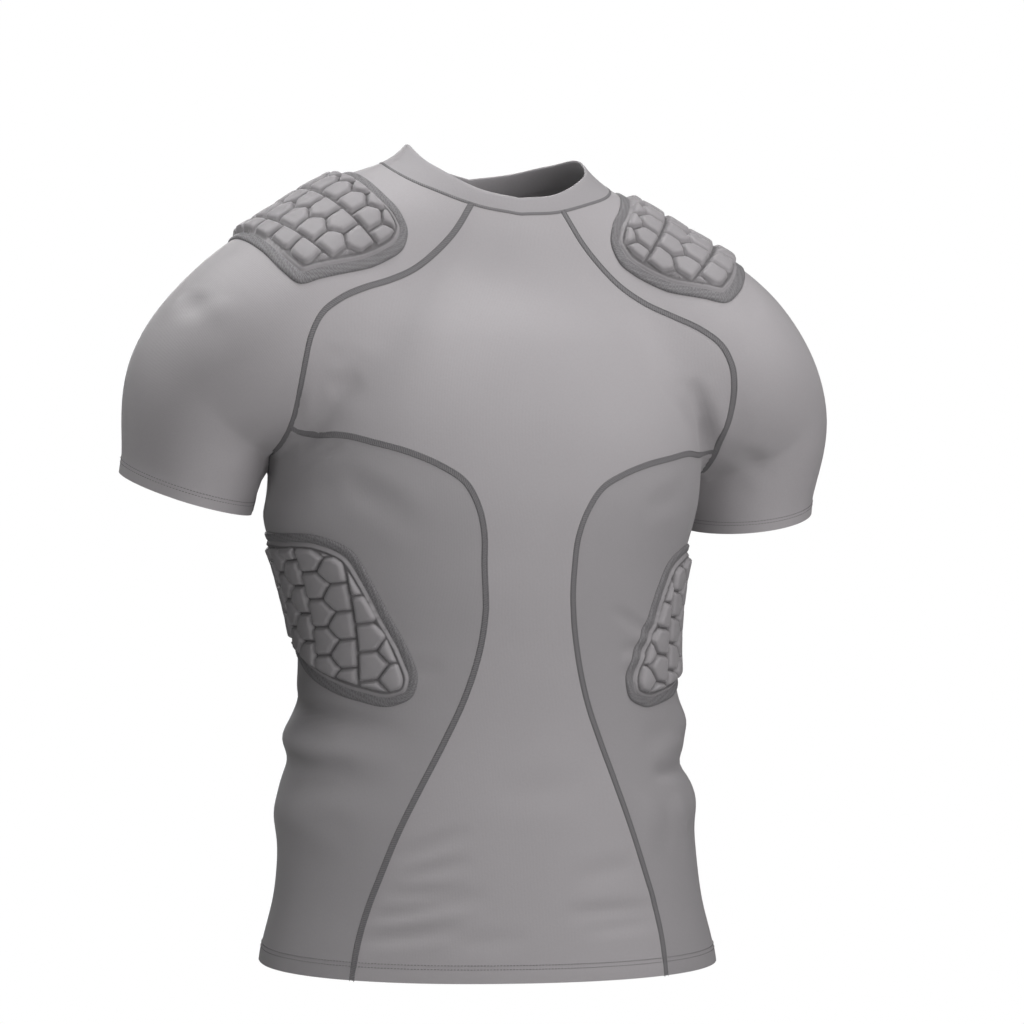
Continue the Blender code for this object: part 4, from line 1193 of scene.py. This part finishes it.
def graph(tree, nodes, made, joined):
    """Adds named nodes to a tree and joins their sockets.

    nodes holds those that are already there, made gives each new one's type, settings and
    input values, and a row of joined reads "node.output > node.input".
    """
    nodes = dict(nodes)
    for name, (kind, settings, values) in made.items():
        node = nodes[name] = tree.nodes.new(kind)
        for key, value in settings.items():
            setattr(node, key, value)
        for key, value in values.items():
            node.inputs[key].default_value = value
    for row in joined:
        (source, out), (target, into) = (end.split(".") for end in row.split(" > "))
        into = int(into) if into.isdigit() else into
        tree.links.new(nodes[source].outputs[out], nodes[target].inputs[into])


def painted(name, made, joined, surface):
    """A material with these nodes before its shader, and these plain values on it."""
    material = bpy.data.materials.new(name)
    material.use_nodes = True
    shader = material.node_tree.nodes["Principled BSDF"]
    for key, value in surface.items():
        shader.inputs[key].default_value = value
    graph(material.node_tree, {"shader": shader}, made, joined)
    return material


CUT_UV = ("ShaderNodeUVMap", {"uv_map": "cut"}, {})
PLACE = ("ShaderNodeTexCoord", {}, {})
FLECK_SCALE = 620.0


def tint(colour, factor=1.0):
    """A colour made darker or lighter, as a node takes it."""
    return [c * factor for c in colour[:3]] + [1]


def mix(a=None, b=None):
    values = {key: value for key, value in (("A", a), ("B", b)) if value is not None}
    return "ShaderNodeMix", {"data_type": "RGBA"}, values


def noise(scale, detail=2.0):
    return "ShaderNodeTexNoise", {}, {"Scale": scale, "Detail": detail}


def wave(across, scale, distortion, detail=2.0):
    return ("ShaderNodeTexWave", {"bands_direction": across},
            {"Scale": scale, "Distortion": distortion, "Detail": detail})


def slant(degrees):
    return "ShaderNodeMapping", {}, {"Rotation": (0, 0, math.radians(degrees))}


def ramp(low, high, start=0.0, end=1.0):
    return "ShaderNodeMapRange", {}, {"From Min": low, "From Max": high, "To Min": start,
                                      "To Max": end}


def maths(operation, values=None, clamp=False):
    return "ShaderNodeMath", {"operation": operation, "use_clamp": clamp}, values or {}


def bump(strength, distance):
    return "ShaderNodeBump", {}, {"Strength": strength, "Distance": distance}


def knit(name, colour):
    """Smooth stretch knit: fine wales along the cut, faint mottling and a soft sheen."""
    made = {
        "uv": CUT_UV, "place": PLACE,
        "wales": wave("X", 260.0, 0.6, 1.0),
        "cloud": noise(14.0, 3.0),
        "fleck": noise(FLECK_SCALE),
        "tone": mix(tint(colour, 0.93), tint(colour, 1.06)),
        "flecked": maths("MULTIPLY_ADD", {1: 0.55, 2: -0.05}),
        "clouded": maths("MULTIPLY", {1: 0.5}),
        "both": maths("ADD", clamp=True),
        "fine": bump(0.22, 0.00012),
        "soft": bump(0.18, 0.0003),
    }
    joined = (
        "uv.UV > wales.Vector", "place.Object > cloud.Vector", "place.Object > fleck.Vector",
        "fleck.Fac > flecked.0", "cloud.Fac > clouded.0", "flecked.Value > both.0",
        "clouded.Value > both.1", "both.Value > tone.Factor", "tone.Result > shader.Base Color",
        "wales.Fac > fine.Height", "fleck.Fac > soft.Height", "fine.Normal > soft.Normal",
        "soft.Normal > shader.Normal")
    return painted(name, made, joined, {"Roughness": 0.62, "Specular IOR Level": 0.32,
                                        "Sheen Weight": 0.12, "Sheen Roughness": 0.5})


def seam_thread(name, colour):
    """The flat seam's close threads, laid across it at a slant."""
    made = {
        "uv": CUT_UV, "turn": slant(28),
        "threads": wave("Y", 190.0, 0.8),
        "tone": mix(tint(colour, 0.80), tint(colour, 1.14)),
        "bump": bump(0.5, 0.0003),
    }
    joined = (
        "uv.UV > turn.Vector", "turn.Vector > threads.Vector", "threads.Fac > tone.Factor",
        "tone.Result > shader.Base Color", "threads.Fac > bump.Height",
        "bump.Normal > shader.Normal")
    return painted(name, made, joined, {"Roughness": 0.8, "Specular IOR Level": 0.2})


def thread(name, colour):
    """Twisted sewing thread."""
    made = {"place": PLACE, "twist": noise(900.0),
            "tone": mix(tint(colour, 0.8), tint(colour, 1.2))}
    joined = ("place.Object > twist.Vector", "twist.Fac > tone.Factor",
              "tone.Result > shader.Base Color")
    return painted(name, made, joined, {"Roughness": 0.7})


def padding(name, colour, border):
    """A pad's cloth: darker close threads on its border, painted shade between the cells."""
    made = {
        "uv": CUT_UV, "place": PLACE, "turn": slant(35),
        "split": ("ShaderNodeSeparateXYZ", {}, {}),
        "on_border": ramp((BORDER - 0.5) * MM, (BORDER + 0.3) * MM, 1.0, 0.0),
        "threads": wave("X", 150.0, 1.0),
        "worked": mix(tint(border, 0.78), tint(border, 1.16)),
        # Painted shade: by the cell value, the cloth falls to 0.42 of its colour in the grooves and
        # on the underside.
        "cell": ("ShaderNodeAttribute", {"attribute_name": "cell"}, {}),
        "raised": ramp(-0.10, 0.07),
        "cloth": mix(tint(colour, 0.42), tint(colour)),
        "margin": ramp((CELL_MARGIN - 1.2) * MM, (CELL_MARGIN - 0.2) * MM),
        "plain": mix(tint(colour, 0.95)),
        "whole": mix(),
        "amount": maths("MULTIPLY"),
        "bump": bump(0.6, 0.0004),
        "fleck": noise(FLECK_SCALE),
        "fine": bump(0.2, 0.0003),
    }
    joined = (
        "uv.UV > split.Vector", "split.Y > on_border.Value", "uv.UV > turn.Vector",
        "turn.Vector > threads.Vector", "threads.Fac > worked.Factor", "cell.Fac > raised.Value",
        "raised.Result > cloth.Factor", "split.Y > margin.Value", "margin.Result > plain.Factor",
        "cloth.Result > plain.B", "on_border.Result > whole.Factor", "plain.Result > whole.A",
        "worked.Result > whole.B", "whole.Result > shader.Base Color", "threads.Fac > amount.0",
        "on_border.Result > amount.1", "amount.Value > bump.Height",
        "place.Object > fleck.Vector", "fleck.Fac > fine.Height", "bump.Normal > fine.Normal",
        "fine.Normal > shader.Normal")
    return painted(name, made, joined, {"Roughness": 0.6, "Specular IOR Level": 0.32,
                                        "Sheen Weight": 0.1})


def floor_paint():
    """The pale floor's faint mottling."""
    made = {"place": PLACE, "cloud": noise(2.0),
            "tone": mix((0.80, 0.80, 0.80, 1), (0.84, 0.84, 0.84, 1))}
    joined = ("place.Object > cloud.Vector", "cloud.Fac > tone.Factor",
              "tone.Result > shader.Base Color")
    return painted("pale_floor", made, joined, {"Roughness": 0.9})


def stitch_tree():
    """Geometry nodes that lay one small stitch every pitch along each line."""
    tree = bpy.data.node_groups.get("stitches_along_lines")
    if tree:
        return tree
    tree = bpy.data.node_groups.new("stitches_along_lines", "GeometryNodeTree")
    face = tree.interface
    face.new_socket("Lines", in_out="INPUT", socket_type="NodeSocketGeometry")
    for name in ("Pitch", "Length", "Thickness"):
        face.new_socket(name, in_out="INPUT", socket_type="NodeSocketFloat")
    face.new_socket("Thread", in_out="INPUT", socket_type="NodeSocketMaterial")
    face.new_socket("Stitches", in_out="OUTPUT", socket_type="NodeSocketGeometry")
    made = {
        "given": ("NodeGroupInput", {}, {}), "result": ("NodeGroupOutput", {}, {}),
        "curve": ("GeometryNodeMeshToCurve", {}, {}),
        "even": ("GeometryNodeResampleCurve", {"mode": "LENGTH"}, {}),
        "ball": ("GeometryNodeMeshUVSphere", {}, {"Segments": 6, "Rings": 4, "Radius": 0.5}),
        "size": ("ShaderNodeCombineXYZ", {}, {}),
        "shape": ("GeometryNodeTransform", {}, {}),
        "tangent": ("GeometryNodeInputTangent", {}, {}),
        "out": ("GeometryNodeInputNamedAttribute", {"data_type": "FLOAT_VECTOR"},
                {"Name": "out"}),
        "along": ("FunctionNodeAlignRotationToVector", {"axis": "X"}, {}),
        "up": ("FunctionNodeAlignRotationToVector", {"axis": "Z", "pivot_axis": "X"}, {}),
        "lay": ("GeometryNodeInstanceOnPoints", {}, {}),
        "real": ("GeometryNodeRealizeInstances", {}, {}),
        "smooth": ("GeometryNodeSetShadeSmooth", {}, {}),
        "paint": ("GeometryNodeSetMaterial", {}, {}),
    }
    joined = (
        "given.Lines > curve.Mesh", "curve.Curve > even.Curve", "given.Pitch > even.Length",
        "given.Length > size.X", "given.Thickness > size.Y", "given.Thickness > size.Z",
        "ball.Mesh > shape.Geometry", "size.Vector > shape.Scale",
        "tangent.Tangent > along.Vector", "along.Rotation > up.Rotation",
        "out.Attribute > up.Vector", "even.Curve > lay.Points", "shape.Geometry > lay.Instance",
        "up.Rotation > lay.Rotation", "lay.Instances > real.Geometry",
        "real.Geometry > smooth.Geometry", "smooth.Geometry > paint.Geometry",
        "given.Thread > paint.Material", "paint.Geometry > result.Stitches")
    graph(tree, {}, made, joined)
    return tree


def stitches(name, runs, height, material, pitch, settled=True):
    """Rows of stitches along lines of the form, at a height over the cloth, in mm."""
    points, normals, edges, base = [], [], [], 0
    for path in runs:
        fine = np.linspace(0, len(path) - 1, (len(path) - 1) * 3 + 1)
        path = np.stack([np.interp(fine, np.arange(len(path)), path[:, k]) for k in range(3)], -1)
        path = FORM.settle(path) if settled else path
        p = worn(path, height * MM)
        points.append(p)
        normals.append(unit(worn(path, MM + height * MM) - p))
        edges += [(base + i, base + i + 1) for i in range(len(p) - 1)]
        base += len(p)
    mesh = bpy.data.meshes.new(name)
    mesh.from_pydata(np.concatenate(points).tolist(), edges, [])
    layer = mesh.attributes.new("out", "FLOAT_VECTOR", "POINT")
    layer.data.foreach_set("vector", np.concatenate(normals).astype(np.float32).ravel())
    obj = bpy.data.objects.new(name, mesh)
    bpy.context.scene.collection.objects.link(obj)
    tree = stitch_tree()
    modifier = obj.modifiers.new("stitches", "NODES")
    modifier.node_group = tree
    values = {"Pitch": pitch * MM, "Length": STITCH_LENGTH * MM,
              "Thickness": STITCH_THICKNESS * MM, "Thread": material}
    for item in tree.interface.items_tree:
        if item.name in values and item.in_out == "INPUT":
            modifier[item.identifier] = values[item.name]
    ready = obj.evaluated_get(bpy.context.evaluated_depsgraph_get())
    made = bpy.data.meshes.new_from_object(ready)
    obj.modifiers.clear()
    obj.data = made
    made.name = name
    if not len(made.polygons):
        raise RuntimeError(name + " has no stitches")
    if not made.materials:
        made.materials.append(material)
    return obj


def settle_piece(obj, node=None):
    """Hangs a finished piece on the root body and hides the imported part that it replaces."""
    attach(obj, "root")
    if node:
        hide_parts(node)


def number(name, description, default, **more):
    """A size or a light's strength, for the sidebar."""
    return bpy.props.FloatProperty(name=name, description=description, default=default, **more)


def paint(name, description, *default):
    """A colour for the sidebar, red, green and blue."""
    return bpy.props.FloatVectorProperty(name=name, description=description, subtype="COLOR",
                                         default=default)


class ShirtSizes(bpy.types.PropertyGroup):
    cloth: number("Cloth", "Thickness of the knit", 1.2 * MM, unit="LENGTH")
    collar: number("Collar", "Thickness of the folded neck band", 1.9 * MM, unit="LENGTH")
    seam: number("Seam width, mm", "Width of the flat seams", 5.4)
    seam_rise: number("Seam rise, mm", "How far a flat seam stands out", 0.5)
    pitch: number("Stitch pitch, mm", "From one stitch to the next", 2.7)


class ShirtColours(bpy.types.PropertyGroup):
    body: paint("Body", "Front, back and sleeves", 0.300, 0.288, 0.296)
    # Painted shade: the side panels' knit is darker than the body's, standing in for the shade on
    # the flanks.
    side: paint("Sides", "Side panels", 0.255, 0.246, 0.253)
    collar: paint("Collar", "Neck band", 0.270, 0.260, 0.268)
    pads: paint("Pads", "Cells of the pads", 0.245, 0.236, 0.243)
    seams: paint("Seams", "Flat seams and pad borders", 0.150, 0.146, 0.151)
    thread: paint("Thread", "Stitches", 0.120, 0.117, 0.121)


class ShirtLights(bpy.types.PropertyGroup):
    front: number("Front", "Broad light level with the chest", 21.0)
    chest: number("Chest", "Near light high in front of the chest", 5.8)
    right: number("Right", "Near light in front of the far sleeve", 6.4)
    left: number("Left", "Near light in front of the near sleeve", 2.2)
    side: number("Side", "Weak light from the left", 6.2)
    top: number("Top", "Soft light over the shoulders", 1.9)
    rim: number("Rim", "Light from behind on the near shoulder", 1.2)
    low: number("Low", "Weak light from the floor in front", 6.0)
    back: number("Back", "Weak light behind, for views of the back", 22.0)
    ambient: number("Ambient", "Even light from all round", 0.002)


class SHIRT_OT_torso(bpy.types.Operator):
    """Front and back panels"""
    bl_idname = "shirt.torso"
    bl_label = "Front and back"

    def execute(self, context):
        sizes, colours = context.scene.shirt_sizes, context.scene.shirt_colours
        for which in ("front", "back"):
            panel = torso_panel(which)
            cloth = knit(which + "_knit_cloth", colours.body)
            obj = panel.cloth(which + "_cloth", sizes.cloth, cloth, hem_fold(panel.points))
            settle_piece(obj, which + "_panel")
        return {"FINISHED"}


class SHIRT_OT_sides(bpy.types.Operator):
    """Side panels"""
    bl_idname = "shirt.sides"
    bl_label = "Side panels"

    def execute(self, context):
        sizes, colours = context.scene.shirt_sizes, context.scene.shirt_colours
        # Painted shade: the darker side colour stands in for the shade on the flanks.
        cloth = knit("side_knit_cloth", colours.side)
        for name, sign in SIDES:
            panel = side_panel(name, sign)
            obj = panel.cloth("side_cloth_" + name, sizes.cloth, cloth, hem_fold(panel.points))
            settle_piece(obj, "side_panel_" + name)
        return {"FINISHED"}


class SHIRT_OT_sleeves(bpy.types.Operator):
    """Raglan sleeves with their folded cuffs"""
    bl_idname = "shirt.sleeves"
    bl_label = "Sleeves"

    def execute(self, context):
        sizes, colours = context.scene.shirt_sizes, context.scene.shirt_colours
        cloth = knit("sleeve_knit_cloth", colours.body)
        for name, sign in SIDES:
            panel = sleeve_panel(name, sign)
            edge = CUFF["along"] + CUFF["rise"] * np.cos(panel.uv[:, 1] / SleeveChart.ROUND)
            fold = step_up((panel.uv[:, 0] - edge + CUFF_FOLD) / FOLD_EDGE)
            obj = panel.cloth("sleeve_cloth_" + name, sizes.cloth, cloth, fold)
            settle_piece(obj, "sleeve_" + name)
        return {"FINISHED"}


class SHIRT_OT_collar(bpy.types.Operator):
    """Folded neck band"""
    bl_idname = "shirt.collar"
    bl_label = "Collar"

    def execute(self, context):
        sizes, colours = context.scene.shirt_sizes, context.scene.shirt_colours
        obj = collar_mesh(sizes.collar, knit("collar_knit_cloth", colours.collar))
        settle_piece(obj, "collar")
        return {"FINISHED"}


class SHIRT_OT_pads(bpy.types.Operator):
    """Celled pads on the shoulders and the ribs"""
    bl_idname = "shirt.pads"
    bl_label = "Pads"

    def execute(self, context):
        colours = context.scene.shirt_colours
        cloth = padding("pad_cells_cloth", colours.pads, colours.seams)
        for name, sign in SIDES:
            ribs, sleeve = SideChart(sign), SleeveChart(sign)
            shift = SHOULDER_SHIFT[name]
            rib_line = ribs.from_degrees([(RIB_CELL["first"], 0)])[0, 0]
            for part, chart, rows, start, cell in (
                    ("rib", ribs, ribs.from_degrees(RIB_PAD), rib_line, RIB_CELL),
                    ("shoulder", sleeve, sleeve.from_degrees(SHOULDER_PAD, shift),
                     SHOULDER_CELL["first"] + shift, SHOULDER_CELL)):
                outline = spread(rows, OUTLINE_STEP, closed=True)
                obj = pad_mesh(part + "_cells_" + name, chart, outline, start, cell, cloth)
                settle_piece(obj, part + "_pad_" + name)
        return {"FINISHED"}


class SHIRT_OT_seams(bpy.types.Operator):
    """Flat seams between the panels, and the collar's seam"""
    bl_idname = "shirt.seams"
    bl_label = "Flat seams"

    def execute(self, context):
        sizes, colours = context.scene.shirt_sizes, context.scene.shirt_colours
        cloth = seam_thread("flat_seam_threads", colours.seams)
        for name, _ in SIDES:
            line = SEAMS.side[name]
            for part, runs, share, slot in (
                    ("raglan_seam_", [armhole(line)], 1.0, "sleeve_knit"),
                    ("side_seams_", [line["side_front"], line["side_back"]], 1.0, "side_knit"),
                    ("under_arm_seam_", [line["under_arm"]], 0.8, "sleeve_knit")):
                obj = band(part + name, runs, sizes.seam * share, sizes.seam_rise, cloth)
                settle_piece(obj)
        obj = band("collar_seam", [collar_line()], COLLAR_SEAM["width"], COLLAR_SEAM["rise"], cloth)
        settle_piece(obj)
        return {"FINISHED"}


class SHIRT_OT_stitches(bpy.types.Operator):
    """Rows of stitches on the seams, the hem and the cuffs"""
    bl_idname = "shirt.stitches"
    bl_label = "Stitches"

    def execute(self, context):
        sizes, colours = context.scene.shirt_sizes, context.scene.shirt_colours
        cloth = thread("sewing_thread", colours.thread)
        pitch = sizes.pitch * 1.0
        row = sizes.seam * 0.33
        seams, cuffs = [], []
        for name, sign in SIDES:
            line, chart = SEAMS.side[name], SleeveChart(sign)
            for path in (armhole(line), line["side_front"], line["side_back"]):
                seams += [beside(path, row), beside(path, -row)]
            cuffs += [chart.point(cuff_line(back, 90))
                      for back in (CUFF_FOLD, CUFF_FOLD - SECOND_ROW["cuff"])]
        angles = np.linspace(0, 2 * math.pi, 180)
        hems = [hem_ring(angles, height) for height in (HEM, HEM - SECOND_ROW["hem"])]
        for part, runs, height, slot in (
                ("seam", seams, sizes.seam_rise + 0.1, "side_knit"),
                ("hem", hems, STITCH_HEIGHT, "front_knit"),
                ("cuff", cuffs, STITCH_HEIGHT, "sleeve_knit")):
            obj = stitches(part + "_stitches", runs, height, cloth, pitch, part != "cuff")
            settle_piece(obj)
        return {"FINISHED"}


CAMERA = {"azimuth": -20.0, "distance": 2.5, "height": -0.2705, "aside": 0.0204,
          "lens": 103.4, "roll": 1.0}
FLOOR = {"half": 2.0, "level": -1.6}
MIDDLE, CHEST = (0.0, 0.0, -0.25), (0.0, 0.0, -0.15)
WARM, WHITE = (1.0, 0.985, 0.99), (1, 1, 1)
LIGHTS = [
    # name, size, azimuth, elevation, distance, target, colour, spread
    ("front", 1.2, 10, 0, 2.4, MIDDLE, WARM, 180),
    ("chest", 0.8, 15, 50, 1.3, CHEST, WARM, 180),
    ("right", 0.8, 45, 14, 1.3, CHEST, WARM, 180),
    ("left", 0.8, -45, 10, 1.3, CHEST, WHITE, 180),
    ("side", 1.2, -50, 0, 2.4, MIDDLE, WHITE, 180),
    ("top", 0.6, 0, 80, 1.6, (0, 0, -0.02), WHITE, 60),
    ("rim", 0.5, -110, 50, 1.6, (-0.19, 0, -0.05), WHITE, 40),
    ("low", 1.4, -20, -40, 2.4, MIDDLE, WHITE, 180),
    ("back", 1.2, 175, 15, 2.4, MIDDLE, WHITE, 180),
]


def soft_light(name, power, size, azimuth, elevation, distance, target, colour, spread):
    lamp = bpy.data.lights.new(name, "AREA")
    lamp.shape = "DISK"
    lamp.size = size
    lamp.energy = power
    lamp.color = colour
    lamp.spread = math.radians(spread)
    obj = bpy.data.objects.new(name, lamp)
    a, e = math.radians(azimuth), math.radians(elevation)
    way = Vector((math.sin(a) * math.cos(e), -math.cos(a) * math.cos(e), math.sin(e)))
    obj.location = Vector(target) + way * distance
    obj.rotation_euler = (-way).to_track_quat("-Z", "Y").to_euler()
    bpy.context.scene.collection.objects.link(obj)


class SHIRT_OT_stage(bpy.types.Operator):
    """Camera, soft lights, pale floor and white surroundings"""
    bl_idname = "shirt.stage"
    bl_label = "Stage"

    def execute(self, context):
        scene, lights = context.scene, context.scene.shirt_lights
        a = math.radians(CAMERA["azimuth"])
        lens = bpy.data.cameras.new("camera")
        lens.lens = CAMERA["lens"]
        lens.sensor_width = 36.0
        camera = bpy.data.objects.new("camera", lens)
        right = Vector((math.cos(a), math.sin(a), 0))
        back = Vector((math.sin(a), -math.cos(a), 0))
        camera.location = back * CAMERA["distance"] + right * CAMERA["aside"] \
            + Vector((0, 0, CAMERA["height"]))
        look = (-back).to_track_quat("-Z", "Y").to_matrix()
        roll = Matrix.Rotation(math.radians(CAMERA["roll"]), 3, "Z")
        camera.rotation_euler = (look @ roll).to_euler()
        scene.collection.objects.link(camera)
        scene.camera = camera
        for name, *rest in LIGHTS:
            soft_light(name, getattr(lights, name), *rest)
        world = bpy.data.worlds.new("studio")
        scene.world = world
        world.use_nodes = True
        nodes = world.node_tree.nodes
        seen = nodes["Background"]
        seen.inputs["Color"].default_value = (1, 1, 1, 1)
        seen.inputs["Strength"].default_value = 1.0
        made = {
            "given": ("ShaderNodeBackground", {},
                      {"Color": (0.96, 0.97, 1.0, 1), "Strength": lights.ambient}),
            "ray": ("ShaderNodeLightPath", {}, {}),
            "either": ("ShaderNodeMixShader", {}, {}),
        }
        graph(world.node_tree, {"seen": seen, "world": nodes["World Output"]}, made, (
            "ray.Is Camera Ray > either.Fac", "given.Background > either.1",
            "seen.Background > either.2", "either.Shader > world.Surface"))
        scene.view_settings.view_transform = "Standard"
        scene.view_settings.look = "None"
        h, z = FLOOR["half"], FLOOR["level"]
        floor = piece("floor", [(-h, -h, z), (h, -h, z), (h, h, z), (-h, h, z)], [(0, 1, 2, 3)],
                      floor_paint())
        return {"FINISHED"}


class SHIRT_PT_panel(bpy.types.Panel):
    bl_label = "Padded compression shirt"
    bl_idname = "SHIRT_PT_panel"
    bl_space_type = "VIEW_3D"
    bl_region_type = "UI"
    bl_category = "Shirt"

    def draw(self, context):
        layout, scene = self.layout, context.scene
        for group in (scene.shirt_sizes, scene.shirt_colours, scene.shirt_lights):
            box = layout.box()
            for key in group.bl_rna.properties.keys():
                if key not in ("rna_type", "name"):
                    box.prop(group, key)
        for step in STEPS:
            layout.operator(step.bl_idname)


STEPS = (SHIRT_OT_torso, SHIRT_OT_sides, SHIRT_OT_sleeves, SHIRT_OT_collar, SHIRT_OT_pads,
         SHIRT_OT_seams, SHIRT_OT_stitches, SHIRT_OT_stage)
GROUPS = {"shirt_sizes": ShirtSizes, "shirt_colours": ShirtColours, "shirt_lights": ShirtLights}
CLASSES = tuple(GROUPS.values()) + STEPS + (SHIRT_PT_panel,)


def register():
    for cls in CLASSES:
        bpy.utils.register_class(cls)
    for name, group in GROUPS.items():
        setattr(bpy.types.Scene, name, bpy.props.PointerProperty(type=group))


def unregister():
    for name in GROUPS:
        delattr(bpy.types.Scene, name)
    for cls in reversed(CLASSES):
        bpy.utils.unregister_class(cls)


def main():
    register()
    bpy.ops.shirt.torso()
    bpy.ops.shirt.sides()
    bpy.ops.shirt.sleeves()
    bpy.ops.shirt.collar()
    bpy.ops.shirt.pads()
    bpy.ops.shirt.seams()
    bpy.ops.shirt.stitches()
    bpy.ops.shirt.stage()


if __name__ == "__main__":
    main()
